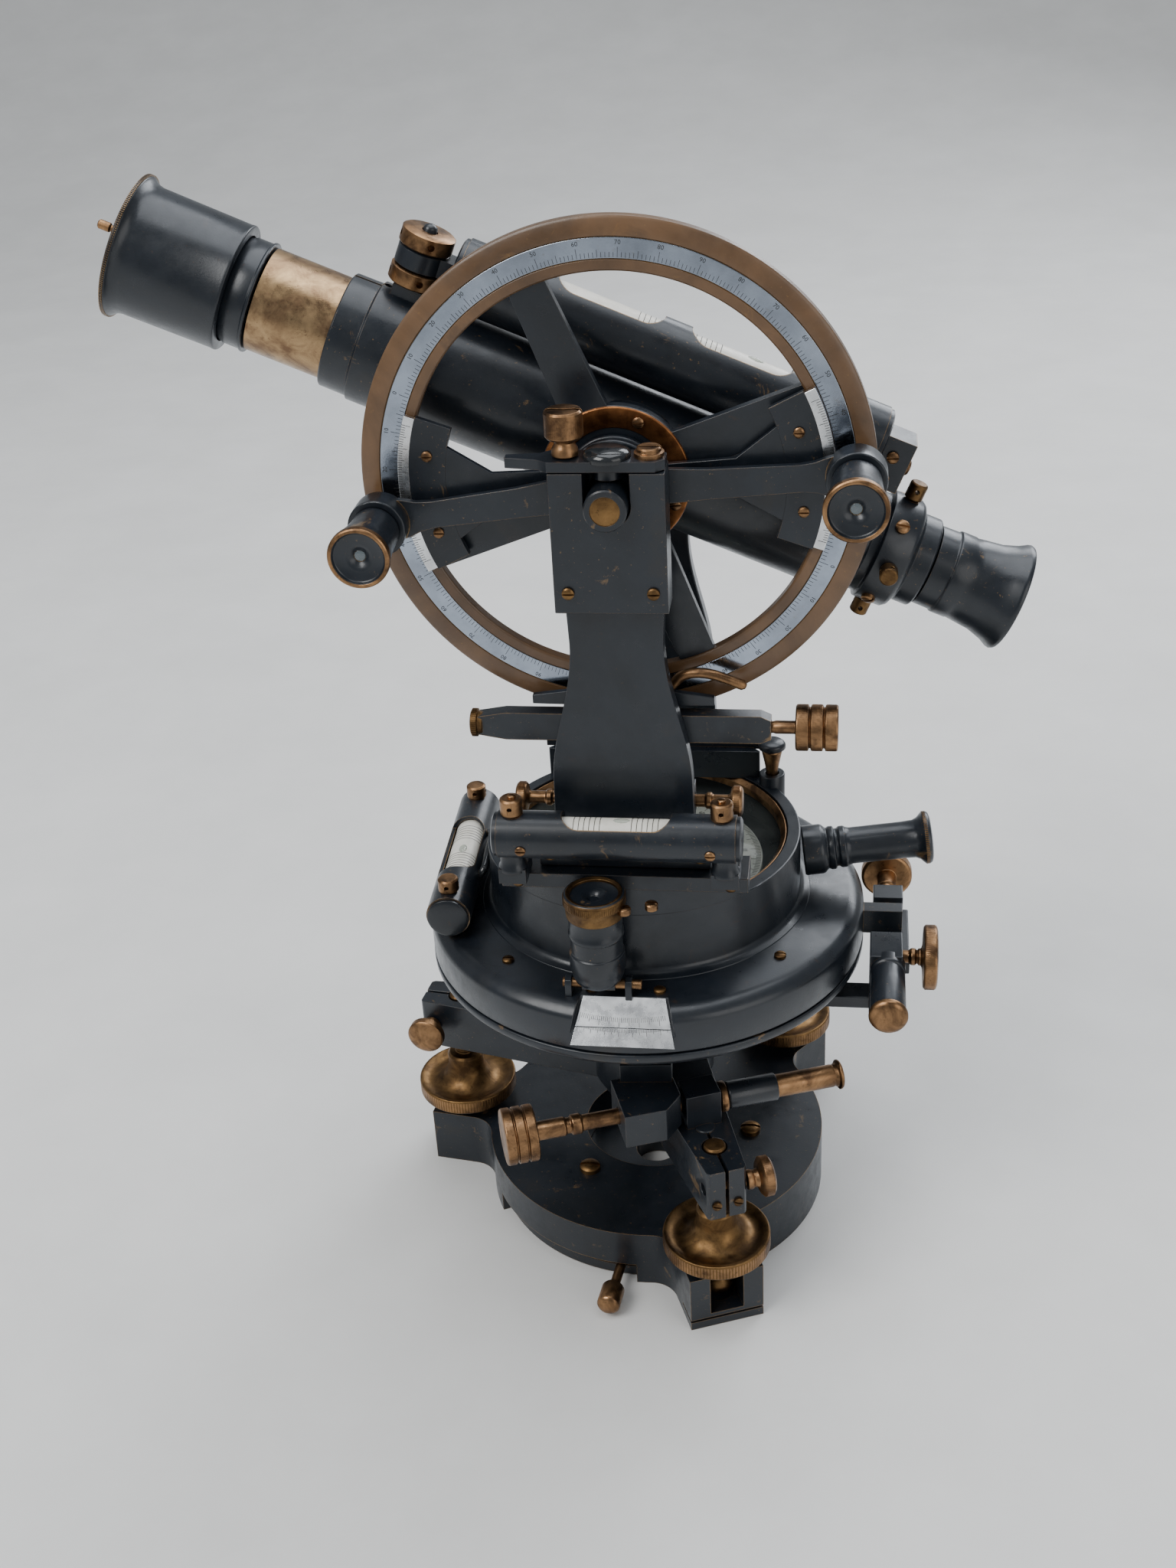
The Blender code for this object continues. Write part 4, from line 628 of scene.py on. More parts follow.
def line_tree():
    """Graduations on a flat ring, every fifth and tenth one longer, over part of a circle."""
    tree = tree_of("graduations", {"Count": 360, "Start": 0.0, "Sweep": 2 * pi, "Inner": 0.06,
                                   "Length": 0.002,
                                   "Width": 0.0001, "Side": 1.0, "Fifth": 5, "Tenth": 10})
    source = tree.nodes.new("NodeGroupInput")
    line = tree.nodes.new("GeometryNodeMeshLine")
    tree.links.new(source.outputs["Count"], line.inputs["Count"])
    index = tree.nodes.new("GeometryNodeInputIndex").outputs[0]
    step = math_of(tree, "DIVIDE", source.outputs["Sweep"], source.outputs["Count"])
    angle = math_of(tree, "ADD", math_of(tree, "MULTIPLY", index, step), source.outputs["Start"])
    fifth = math_of(tree, "LESS_THAN", math_of(tree, "MODULO", index, source.outputs["Fifth"]), 0.5)
    tenth = math_of(tree, "LESS_THAN", math_of(tree, "MODULO", index, source.outputs["Tenth"]), 0.5)
    share = math_of(tree, "ADD", math_of(tree, "ADD", 0.5, math_of(tree, "MULTIPLY", fifth, 0.25)),
                    math_of(tree, "MULTIPLY", tenth, 0.25))
    length = math_of(tree, "MULTIPLY", source.outputs["Length"], share)
    half = math_of(tree, "MULTIPLY", math_of(tree, "MULTIPLY", length, 0.5), source.outputs["Side"])
    middle = math_of(tree, "ADD", source.outputs["Inner"], half)
    x = math_of(tree, "MULTIPLY", middle, math_of(tree, "COSINE", angle))
    y = math_of(tree, "MULTIPLY", middle, math_of(tree, "SINE", angle))
    move = tree.nodes.new("GeometryNodeSetPosition")
    tree.links.new(line.outputs[0], move.inputs["Geometry"])
    tree.links.new(combine(tree, x, y, 0.0), move.inputs["Position"])
    mark = tree.nodes.new("GeometryNodeMeshCube")
    tree.links.new(combine(tree, 1.0, source.outputs["Width"], 0.00006), mark.inputs["Size"])
    spread = tree.nodes.new("GeometryNodeInstanceOnPoints")
    tree.links.new(move.outputs[0], spread.inputs["Points"])
    tree.links.new(mark.outputs["Mesh"], spread.inputs["Instance"])
    tree.links.new(combine(tree, 0.0, 0.0, angle), spread.inputs["Rotation"])
    tree.links.new(combine(tree, length, 1.0, 1.0), spread.inputs["Scale"])
    close_tree(tree, source, spread.outputs[0])
    return tree


def screw_tree():
    """One instance of a head on every point of a mesh, turned to the point's normal."""
    tree = tree_of("screw heads", {"Turn": 0.0})
    tree.interface.new_socket("Head", in_out="INPUT", socket_type="NodeSocketObject")
    source = tree.nodes.new("NodeGroupInput")
    head = tree.nodes.new("GeometryNodeObjectInfo")
    tree.links.new(source.outputs["Head"], head.inputs["Object"])
    way = tree.nodes.new("GeometryNodeInputNamedAttribute")
    way.data_type = "FLOAT_VECTOR"
    way.inputs["Name"].default_value = "way"
    size = tree.nodes.new("GeometryNodeInputNamedAttribute")
    size.inputs["Name"].default_value = "size"
    align = tree.nodes.new("FunctionNodeAlignRotationToVector")
    align.axis = "Z"
    tree.links.new(way.outputs["Attribute"], align.inputs["Vector"])
    spread = tree.nodes.new("GeometryNodeInstanceOnPoints")
    tree.links.new(source.outputs["Geometry"], spread.inputs["Points"])
    tree.links.new(head.outputs["Geometry"], spread.inputs["Instance"])
    tree.links.new(align.outputs[0], spread.inputs["Rotation"])
    tree.links.new(size.outputs["Attribute"], spread.inputs["Scale"])
    close_tree(tree, source, spread.outputs[0])
    return tree


TREES = {}


def tree_named(name):
    if name not in TREES:
        TREES[name] = {"ridges": ridge_tree, "lines": line_tree, "screws": screw_tree}[name]()
    return TREES[name]


def run_tree(tree_name, values, finish_name, mesh=None):
    """The plain mesh that a tree makes from its inputs."""
    tree = tree_named(tree_name)
    carrier = bpy.data.objects.new("carrier", mesh or bpy.data.meshes.new("carrier"))
    bpy.context.scene.collection.objects.link(carrier)
    step = carrier.modifiers.new("made", "NODES")
    step.node_group = tree
    sockets = {item.name: item.identifier for item in tree.interface.items_tree if item.in_out == "INPUT"}
    for label, value in values.items():
        step[sockets[label]] = value
    step[sockets["Finish"]] = finish(finish_name)
    bake(carrier)
    made = carrier.data
    bpy.data.objects.remove(carrier)
    return made


def add_row(target, row):
    """Adds a tree's mesh, turned into place, to a finished piece."""
    tree_name, values, finish_name, place = row
    mesh = run_tree(tree_name, values, finish_name)
    scaled = place.copy()
    scaled.translation = place.translation * MM
    mesh.transform(scaled)
    append(target, mesh)


def append(target, mesh):
    """Joins a mesh with its materials to an object, keeping the object's own normals."""
    other = bpy.data.objects.new("row", mesh)
    bpy.context.scene.collection.objects.link(other)
    with bpy.context.temp_override(active_object=target, object=target,
                                   selected_editable_objects=[target, other],
                                   selected_objects=[target, other]):
        bpy.ops.object.join()


def knurl(radius, length, place, finish_name="brass", pitch=1.0, depth=1.0):
    """A row that knurls a rim centred at the place, its axis along the place's Z."""
    size = sizes()
    count = max(16, round(2 * pi * radius * MM / (size.knurl_pitch * pitch)))
    ridge = size.knurl_depth * depth
    return ("ridges", {"Count": count, "Radius": (radius + 0.02) * MM - ridge, "Length": length * MM,
                       "Depth": ridge, "Width": size.knurl_pitch * pitch * 0.55}, finish_name, place)


def graduate(count, start, sweep, inner, length, place, side=1.0, fifth=5, tenth=10, width=1.0,
             finish_name="ink"):
    return ("lines", {"Count": count, "Start": radians(start), "Sweep": radians(sweep), "Inner": inner * MM,
                      "Length": length * MM, "Width": sizes().line_width * width, "Side": side,
                      "Fifth": fifth,
                      "Tenth": tenth}, finish_name, place)


def screw_head():
    """A slotted cheese head of 1 mm radius, its seat on the XY plane."""
    slot = block_mesh((-1.3, -0.16, 0.34), (1.3, 0.16, 1.5))
    body = cut_away(lathe_mesh([(0, 0.72), (0.5, 0.70), (0.86, 0.60), (1.0, 0.44), (1.0, -0.4),
                                (0, -0.4)], 24), [slot])
    bmesh.ops.scale(body, vec=(MM, MM, MM), verts=body.verts)
    return as_object(body)


def screws(name, body, spots, finish_name="brass"):
    """Slotted heads at (point, direction, radius in mm), all on one body."""
    mesh = bpy.data.meshes.new(name)
    mesh.from_pydata([tuple(Vector(point) * MM) for point, _, _ in spots], [], [])
    ways = [part for _, way, _ in spots for part in Vector(way).normalized()]
    mesh.attributes.new("way", "FLOAT_VECTOR", "POINT").data.foreach_set("vector", ways)
    mesh.attributes.new("size", "FLOAT", "POINT").data.foreach_set("value",
                                                                   [radius for _, _, radius in spots])
    head = screw_head()
    made_mesh = run_tree("screws", {"Head": head}, finish_name, mesh)
    bpy.data.objects.remove(head)
    made = bpy.data.objects.new(name, made_mesh)
    bpy.context.scene.collection.objects.link(made)
    made.data.shade_smooth()
    made.data.set_sharp_from_angle(angle=radians(35))
    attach(made, body)
    return made


def numerals(name, body, marks, height, place, finish_name="ink"):
    """Numbers on a dial: (text, radius, angle), reading from the rim, as one flat-backed mesh."""
    target = None
    for text, radius, angle in marks:
        curve = bpy.data.curves.new(name, "FONT")
        curve.body = text
        curve.size = height
        curve.align_x = "CENTER"
        curve.align_y = "CENTER"
        curve.extrude = 0.03
        curve.resolution_u = 2
        letter = bpy.data.objects.new("numeral", curve)
        bpy.context.scene.collection.objects.link(letter)
        graph = bpy.context.evaluated_depsgraph_get()
        mesh = bpy.data.meshes.new_from_object(letter.evaluated_get(graph))
        bpy.data.objects.remove(letter)
        mesh.transform(place @ about_z(angle) @ Matrix.Translation((radius, 0, 0)) @ about_z(-90))
        mesh.transform(Matrix.Scale(MM, 4))
        mesh.materials.clear()
        mesh.materials.append(finish(finish_name))
        if target is None:
            target = bpy.data.objects.new(name, mesh)
            bpy.context.scene.collection.objects.link(target)
        else:
            append(target, mesh)
    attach(target, body)
    return target


def dress(node_name, finish_name):
    """Gives a CAD node that stays its finish."""
    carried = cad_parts[node_name]
    carried.data.materials.clear()
    carried.data.materials.append(finish(finish_name))


class Maker(bpy.types.Operator):
    """What the operators share"""

    bl_options = {"REGISTER", "UNDO"}

    def execute(self, context):
        self.make()
        return {"FINISHED"}


# ---------------------------------------------------------------- base and tribrach

BASE_R, BASE_H = 57.2, 20.5
FOOT_PCD_R = 68.2


def base_outline():
    reach = sqrt((BASE_R + 9) ** 2 - (12 + 9) ** 2)
    spread = degrees(atan2(12 + 9, reach))
    angles = sorted(FOOT_ANGLES.values())
    outline = []
    for index, angle in enumerate(angles):
        following = angles[(index + 1) % 3] + (360 if index == 2 else 0)
        turn = Matrix.Rotation(radians(angle), 2)
        ear = [(78, -12), (78, 12)]
        before = arc(9, 180 - spread, 90, 10, (reach, -21))
        after = arc(9, 270, 180 + spread, 10, (reach, 21))
        outline += [tuple(turn @ Vector(point)) for point in before + ear + after]
        outline += arc(BASE_R, angle + spread, following - spread, 40)[1:-1]
    return outline


class THEO_OT_base(Maker):
    """Builds the base plate, its lock ring and the screws in its top"""

    bl_idname = "theodolite.base"
    bl_label = "Base"

    def make(self):
        cuts = [round_cut((0, 0, -1), (0, 0, BASE_H + 1), 24, 96),
                round_cut((0, 0, -1), (0, 0, 8.4), 54.6, 128),
                plate_mesh(sector(60.2, 51.6, -152, -91), -1, 7.4)]
        for angle in FOOT_ANGLES.values():
            x, y = polar(FOOT_PCD_R, angle)
            cuts.append(round_cut((x, y, 5), (x, y, BASE_H + 1), 5.4, 40))
            cuts.append(cutter(block_mesh((FOOT_PCD_R, -5.4, 5.4), (79, 5.4, BASE_H + 1)), about_z(angle)))
            cuts.append(cutter(block_mesh((69, -13, 3.0), (79, 13, 3.8)), about_z(angle)))
        plate = Piece("base_body").plate(base_outline(), 0, BASE_H, "worn_lacquer", cuts=cuts)
        plate.finish("base", ["base_plate"], edge=0.55)
        spots = [((*polar(33.2, a), BASE_H), (0, 0, 1), 3.4) for a in (-6, 114, 234)]
        screws("base_screws", "base", spots, "dark_brass")
        hole = round_cut((*polar(48.6, -96.5), 5.4), (*polar(65, -96.5), 5.4), 1.9)
        ring = Piece("lock_body").lathe([(7, 8), (52.2, 8), (52.2, 4), (54.2, 4), (54.2, 0.4), (7, 0.4)],
                                        None, "worn_lacquer", 128, True, [hole])
        ring.finish("lock", ["lock_ring"])
        place = aim((*polar(49.1, -96.5), 5.4), (*polar(1, -96.5), 0))
        knob = Piece("lock_thumb").lathe([(0, 25.9), (2.4, 25.7), (3.3, 25.2), (3.7, 24.6), (3.7, 17.6),
                                          (3.1, 16.6),
                                          (1.6, 15.8), (1.6, 0), (0, 0)], place, "brass", 32)
        knob.finish("lock", ["lock_knob"], rows=[knurl(3.6, 5.6, place @ Matrix.Translation((0, 0, 21.0)))])


class THEO_OT_feet(Maker):
    """Builds the foot screws and the clamp screws of the arms"""

    bl_idname = "theodolite.feet"
    bl_label = "Foot screws"

    def make(self):
        ball = [(5 * cos(radians(a)), 10 + 5 * sin(radians(a))) for a in (44, 30, 15, 0, -15, -30, -44)]
        for name, angle in FOOT_ANGLES.items():
            x, y = polar(FOOT_PCD_R, angle)
            profile = [(0, 65.2), (1.4, 65.1), (3.0, 64.8), (3.5, 64.2)]
            profile += [(3.5 - 0.22 * (i % 2), 63.6 - i * 0.42) for i in range(54)]
            profile += [(3.6, 40.8), (5.4, 40.5), (6.2, 39.6), (6.2, 35.0), (7.0, 32.6), (8.6, 30.6),
                        (10.8, 29.2),
                        (13.0, 28.9), (14.4, 29.4), (15.6, 30.2), (16.6, 30.2), (16.9, 29.7), (16.9, 25.4),
                        (16.3, 24.7), (13.6, 24.5), (7.0, 23.8), (4.4, 22.4), (3.6, 21.0), (3.6, 14.6)]
            place = Matrix.Translation((x, y, 0))
            foot = Piece(f"foot_{name}").lathe(profile + ball + [(0, 6.4)], place, "dark_brass", SMOOTH)
            rows = [knurl(16.9, 4.0, Matrix.Translation((x, y, 27.6)), "brass", 1.6, 1.2)]
            foot.finish(f"foot_screw_{name}", [f"foot_screw_{name}"], rows=rows)
            across = about_z(angle).to_3x3() @ Vector((0, 1, 0))
            place = aim((*polar(76.4, angle), 55.5), across)
            thumb = Piece(f"clamp_{name}").lathe(
                [(0, 15.6), (3.4, 15.7), (5.3, 15.3), (6.2, 14.6), (6.2, 12.2), (5.2, 11.4), (3.0, 10.9),
                 (2.6, 9.6),
                 (3.1, 8.6), (3.1, 7.2), (1.7, 6.9), (1.7, -4.7), (0, -4.7)], place, "brass", 40)
            thumb.finish(f"arm_clamp_{name}", [f"arm_clamp_{name}"],
                         rows=[knurl(6.2, 2.4, place @ Matrix.Translation((0, 0, 13.4)))])


class THEO_OT_tribrach(Maker):
    """Builds the three-armed tribrach with its split arms"""

    bl_idname = "theodolite.tribrach"
    bl_label = "Tribrach"

    def make(self):
        tribrach = Piece("tribrach_body")
        bore = round_cut((0, 0, 38), (0, 0, 90), 12.4, 64)
        tribrach.lathe([(0, 72), (14.2, 72), (15.4, 71.2), (15.5, 66.4), (19.2, 65.6), (20.5, 64.2),
                        (20.6, 47),
                        (19.8, 44.6), (16.4, 38), (13.6, 31), (12.2, 26.8), (11.4, 26), (0, 26)],
                       None, "lacquer", 96, cuts=[bore])
        for angle in FOOT_ANGLES.values():
            outline = ([(12, -12.6), (24, -11.4), (61, -8.0), (ARM_REACH - 1, -6.2), (ARM_REACH, -5.4),
                        (ARM_REACH, 5.4),
                        (ARM_REACH - 1, 6.2), (61, 8.0), (24, 11.4), (12, 12.6)])
            cuts = [round_cut((FOOT_PCD_R, 0, 40), (FOOT_PCD_R, 0, 70), 3.9),
                    block_mesh((61.2, -0.5, 40), (83, 0.5, 70)),
                    round_cut((76.4, -12, 55.5), (76.4, 12, 55.5), 2.0),
                    round_cut((0, 0, 38), (0, 0, 90), 12.4, 64)]
            tribrach.plate(outline, 46, 64, "worn_lacquer", about_z(angle), cuts)
            tribrach.lathe([(0, 64.9), (1.6, 64.8), (3.0, 64.4), (3.2, 64.1), (3.2, 63), (0, 63)],
                           about_z(angle) @ Matrix.Translation((58.6, 0, 0)), "worn_lacquer", 24)
        tribrach.block((49, -5.6, 63.4), (58.3, 5.6, 76), "lacquer", about_z(-67.8),
                       [cutter(round_cut(lower_line(-8), lower_line(8), 3.5), about_z(67.8))])
        tribrach.finish("base", ["tribrach"], edge=0.5)
        spots = [(about_z(a) @ Vector((ARM_REACH, s * 3.4, 51.5)),
                  about_z(a).to_3x3() @ Vector((1, 0, 0)), 1.5)
                 for a in FOOT_ANGLES.values() for s in (-1, 1)]
        screws("arm_screws", "base", spots, "dark_brass")


def lower_line(distance):
    """The point at a distance along the lower fine motion screw, from its lug."""
    return Vector((*polar(LUG_REACH, FOOT_ANGLES["front"]), LUG_Z)) + WAY * distance


def triple_knob(radius, length):
    """The outer side of a knob with three knurled bands, from its far face at the length down to 0."""
    band = length / 3
    points = [(0, length), (radius * 0.5, length), (radius - 0.4, length - 0.1)]
    for i in range(3):
        top, bottom = length - i * band - 0.35, length - (i + 1) * band + 0.35
        points += [(radius, top), (radius, bottom)]
        if i < 2:
            points += [(radius - 0.75, bottom - 0.1), (radius - 0.75, bottom - 0.6)]
    return points + [(radius - 0.4, 0)]


class THEO_OT_lower_motion(Maker):
    """Builds the lower clamp, its fine motion screw and the spring barrel"""

    bl_idname = "theodolite.lower_motion"
    bl_label = "Lower motion"

    def make(self):
        centre = lower_line(-17)
        reach, turn = Vector((centre.x, centre.y)).length, degrees(atan2(centre.y, centre.x))
        clamp = Piece("lower_clamp_body")
        clamp.lathe([(18.1, 86), (18.5, 85.6), (18.5, 75.4), (18.1, 75), (12.4, 75), (12.4, 86)], None,
                    "lacquer", 80,
                    True)
        clamp.block((15, -8, 76.5), (reach - 5, 8, 84), "lacquer", about_z(turn))
        place = Matrix.Translation((centre.x, centre.y, 0)) @ about_z(20.5)
        clamp.plate([(-9, -10), (4, -10), (10, -4), (10, 5), (5, 9), (-9, 9)], 65.8, 77.6, "worn_lacquer",
                    place,
                    [cutter(round_cut(lower_line(-32), lower_line(-2), 2.8), place.inverted())])
        clamp.finish("lower_clamp", ["lower_clamp"], edge=0.45)
        block = about_z(20.5)
        screws("lower_clamp_screws", "lower_clamp",
               [(centre + block.to_3x3() @ Vector((dx, dy, 77.6)), (0, 0, 1), 1.9) for dx,
                dy in ((-5, -5), (3, -5))]
               + [((*polar(18.3, turn + 90), 80.5), (*polar(1, turn + 90), 0), 2.2)], "brass")
        place = aim(lower_line(-52), -WAY)
        knob = Piece("lower_fine_screw").lathe(
            triple_knob(8.7, 10) + [(3.0, -0.1), (3.0, -9), (2.5, -9.6), (2.5, -10.8), (3.2, -11.4),
                                    (3.2, -14), (2.5, -14.6),
                                    (2.5, -45.8), (0, -45.8)], place @ Matrix.Translation((0, 0, 0)),
                                    "brass", 48)
        bands = [knurl(8.7, 2.0, place @ Matrix.Translation((0, 0, z))) for z in (1.7, 5.0, 8.3)]
        knob.finish("lower_tangent_screw", ["lower_tangent_screw"], rows=bands)
        place = aim(lower_line(0), WAY)
        barrel = Piece("lower_spring_barrel")
        barrel.lathe([(0, 24.6), (3.3, 24.6), (4.1, 24.5), (4.3, 24.2), (4.3, 9.0), (3.8, 8.4),
                      (3.2, 8.4), (3.2, -4.5),
                      (0, -4.5)], place, "lacquer", 40)
        barrel.lathe([(0, 45.6), (3.0, 45.6), (3.3, 46), (4.2, 45.9), (4.7, 45.4), (4.7, 44.8),
                      (3.8, 44.4), (3.4, 43.4),
                      (3.6, 42.8), (3.6, 24.4), (0, 24.4)], place, "brass", 48)
        barrel.lathe([(4.6, 8.3), (4.8, 8.0), (4.8, 6.4), (4.6, 6.1), (3.0, 6.1), (3.0, 8.3)], place,
                     "brass", 48, True)
        barrel.finish("base", ["spring_plunger"])


# ---------------------------------------------------------------- plates, drum and compass

def seat_outline(side):
    half = degrees(asin(35 / 49.3))
    points = arc(49.3, -90 - half, -90 + half, 36) + [(34.7, -34), (-34.7, -34)]
    return [(x * side, y * side) for x, y in points]


class THEO_OT_plates(Maker):
    """Builds the lower plate, the upper plate with its drum and seats, and the verniers"""

    bl_idname = "theodolite.plates"
    bl_label = "Plates"

    def make(self):
        lean = Matrix.Translation((0, -60.4, 117)) @ Matrix.Rotation(radians(50), 4, "X")
        lower = Piece("lower_plate_body")
        lower.lathe([(13.5, 98.9), (13.5, 100.4), (62, 100.4), (62, 101.9), (69.2, 101.9), (69.5, 101.5),
                     (69.5, 99.8),
                     (68.6, 98.4), (66.3, 96.4), (62, 95.2), (32, 93.2), (16, 91.6), (13.9, 90.4),
                     (12, 89), (12, 60),
                     (9.5, 42.2), (7, 42.2), (7, 98.9)], None, "worn_lacquer", 128, True)
        lower.finish("lower_plate", ["lower_plate"], edge=0.3)
        opening = [(-13, 0), (-17, -18), (17, -18), (13, 0)]
        windows = [cutter(plate_mesh(opening, 0, 14), about_z(turn) @ lean) for turn in (0, 180)]
        cover = Piece("upper_plate_body")
        cover.lathe([(10, 117), (64.6, 117), (66.6, 116.2), (68.6, 114.6), (69.3, 113.4), (69.4, 112.6),
                     (69.4, 103.2),
                     (69.0, 102.4), (67.9, 102.4), (67.9, 105), (10, 105)], None, "lacquer", 144, True,
                     windows)
        cover.lathe([(49.0, 138.4), (49.3, 138.1), (49.3, 119.4), (49.7, 118.4), (50.8, 117.6),
                     (52.4, 117.2),
                     (52.6, 116.6), (52.6, 115.9), (10, 115.9), (10, 125), (45.3, 125), (45.3, 138.4)],
                    None, "lacquer", 144, True)
        for side in (1, -1):
            cover.plate(seat_outline(side), 138, 148, "lacquer")
            cover.block((-36, -50, 147.4), (36, -37, 152.2), "worn_lacquer",
                        about_z(0 if side > 0 else 180))
        for x in (-17.4, 0.4):
            cover.plate([(-2.6, 0), (2.6, 0), (2.6, 4.4), (1.9, 6), (0, 6.7), (-1.9, 6), (-2.6, 4.4)], 0,
                        2.0, "lacquer",
                        Matrix.Translation((x, -59.2, 116.4)) @ Matrix.Rotation(radians(90), 4, "Z")
                        @ Matrix.Rotation(radians(90), 4, "X"))
        cover.block((65.4, -2.6, 103), (81.6, 2.6, 111.4), "worn_lacquer")
        cover.lathe([(4.0, 142), (4.2, 141.7), (4.2, 116.4), (2.2, 116.4), (2.2, 142)],
                    Matrix.Translation((39.0, 31.2, 0)), "lacquer", 40, True)
        cover.finish("alidade", ["upper_plate"], edge=0.35)
        dress("upper_spindle", "dark_brass")
        for name, turn in (("front", 0), ("rear", 180)):
            pane = Piece(f"vernier_{name}")
            place = about_z(turn) @ lean
            for low, high in ((-9.3, -0.3), (-14.9, -9.5)):
                half = 13.0 - 0.22 * low - 0.9
                foot = 13.0 - 0.22 * high - 0.9
                pane.plate([(-foot, high), (-half, low), (half, low), (foot, high)], -0.4,
                           0.5 if high > -5 else 0.4, "silver",
                           place)
            dome = place @ Matrix.Translation((0, 60, 0))
            rows = [graduate(44, -101, 22, 66.4, 2.8, dome @ Matrix.Translation((0, 0, 0.51))),
                    graduate(66, -101, 22, 69.7, 2.2, dome @ Matrix.Translation((0, 0, 0.41)))]
            pane.finish("alidade", edge=0.06, rows=rows)
        spots = [((*polar(58.2, a), 117), (0, 0, 1), 1.8) for a in (-100, -80, -130, -40, 20, 60, 100, 140)]
        spots += [((x, -50, 149.9), (0, -1, 0), 1.9) for x in (-31, 31)]
        spots += [((x, 50, 149.9), (0, 1, 0), 1.9) for x in (-31, 31)]
        screws("plate_screws", "alidade", spots, "dark_brass")


class THEO_OT_compass(Maker):
    """Builds the compass: bezel, glass, graduated ring, needle, lifter and the reader on the rim"""

    bl_idname = "theodolite.compass"
    bl_label = "Compass"

    def make(self):
        top = 138.1
        bezel = Piece("bezel").lathe([(43.2, top - 1.6), (44.5, top - 0.2), (44.9, top - 0.2),
                                      (45.0, top - 0.6),
                                      (45.0, top - 4), (43.2, top - 4)], None, "brass", 144, True)
        bezel.finish("alidade", ["compass_bezel"], edge=0.15)
        pane = Piece("compass_pane").lathe([(0, top - 4.3), (44.9, top - 4.3), (44.9, top - 5.6),
                                            (0, top - 5.6)],
                                           None, "glass", 96)
        pane.finish("alidade", ["compass_glass"], edge=0)
        ring = Piece("dial_ring").lathe([(29.4, 128), (37.2, 128), (37.5, 127.7), (37.5, 125.3),
                                         (27, 125.3), (27, 127.2),
                                         (29.2, 127.2)], None, "dial", 144, True)
        ring.lathe([(0, 125.8), (26.8, 125.8), (26.8, 125.3), (9.8, 125.3), (9.8, 125.2), (0, 125.2)],
                   None, "dial", 96)
        lift = Matrix.Translation((0, 0, 128.02))
        ring.finish("alidade", ["compass_dial"], edge=0.1,
                    rows=[graduate(360, 0, 360, 37.0, 3.2, lift, side=-1.0, width=1.2)])
        marks = [(str(min(a, 360 - a) if a <= 180 else 360 - a), 32.0, a) for a in range(0, 360, 10)]
        marks = [(str(n), r, a) for (n, r, a) in marks]
        numerals("dial_numbers", "alidade", marks, 2.0, Matrix.Translation((0, 0, 128.05)))
        outline = [(-26, 0), (-22, -0.9), (-3, -1.3), (-1.8, -2.4), (0, -2.9), (1.8, -2.4), (3, -1.3),
                   (22, -0.9),
                   (26, 0), (22, 0.9), (3, 1.3), (1.8, 2.4), (0, 2.9), (-1.8, 2.4), (-3, 1.3), (-22, 0.9)]
        needle = Piece("needle").plate(outline, 130.0, 130.7, "silver", about_z(64))
        needle.lathe([(0, 131.9), (1.2, 131.8), (1.9, 131.2), (2.4, 129.8), (2.0, 129.7), (0.4, 131.0),
                      (0, 131.0)],
                     None, "brass", 32)
        needle.wire([Vector((*polar(12, 244), 130.9)), Vector((*polar(14, 244), 130.9))], 1.0, "brass")
        needle.finish("compass_needle", ["compass_needle"], edge=0.08)
        place = Matrix.Translation((39.0, 31.2, 142.4))
        lifter = Piece("lifter_knob").lathe(
            [(0, 9.0), (2.6, 9.0), (3.4, 8.0), (2.4, 3.2), (1.9, 0.2), (1.9, -2.4), (0, -2.4)], place,
            "brass", 40)
        lifter.lathe([(0, 11.3), (3.3, 11.3), (4.2, 10.6), (4.4, 10.0), (4.4, 9.1), (3.6, 8.4),
                      (2.6, 8.2), (0, 8.2)],
                     place, "lacquer", 40)
        lifter.finish("compass_lifter", ["compass_lifter"],
                      rows=[knurl(4.4, 1.2, place @ Matrix.Translation((0, 0, 9.6)), "lacquer")])
        root, way = Vector((*polar(49.3, 5.5), 128.5)), Vector((*polar(1, 5.5), 0.10)).normalized()
        place = aim(root, way)
        reader = Piece("reader_tube").lathe(
            [(0, 40.2), (5.0, 40.2), (5.4, 41.0), (6.8, 41.2), (7.9, 40.8), (8.3, 40.0), (8.3, 38.9),
             (7.6, 38.2),
             (6.6, 37.2), (6.0, 35.8), (5.8, 32), (5.8, 16), (6.1, 14.8), (6.6, 14.2), (6.6, 12.6),
             (6.0, 12.0),
             (6.0, 11.2), (6.9, 10.8), (6.9, 9.4), (6.4, 8.6), (7.6, 7.4), (7.9, 6.6), (7.9, 1.2),
             (7.5, 0.9), (0, 0.9)],
            place, "worn_lacquer", SMOOTH)
        reader.lathe([(0, 40.5), (4.9, 40.5), (4.9, 39.6), (0, 39.6)], place, "lens", 40)
        reader.finish("alidade", ["compass_reader"],
                      rows=[knurl(8.3, 1.0, place @ Matrix.Translation((0, 0, 39.4)), "dark_brass")])


# ---------------------------------------------------------------- levels and readers

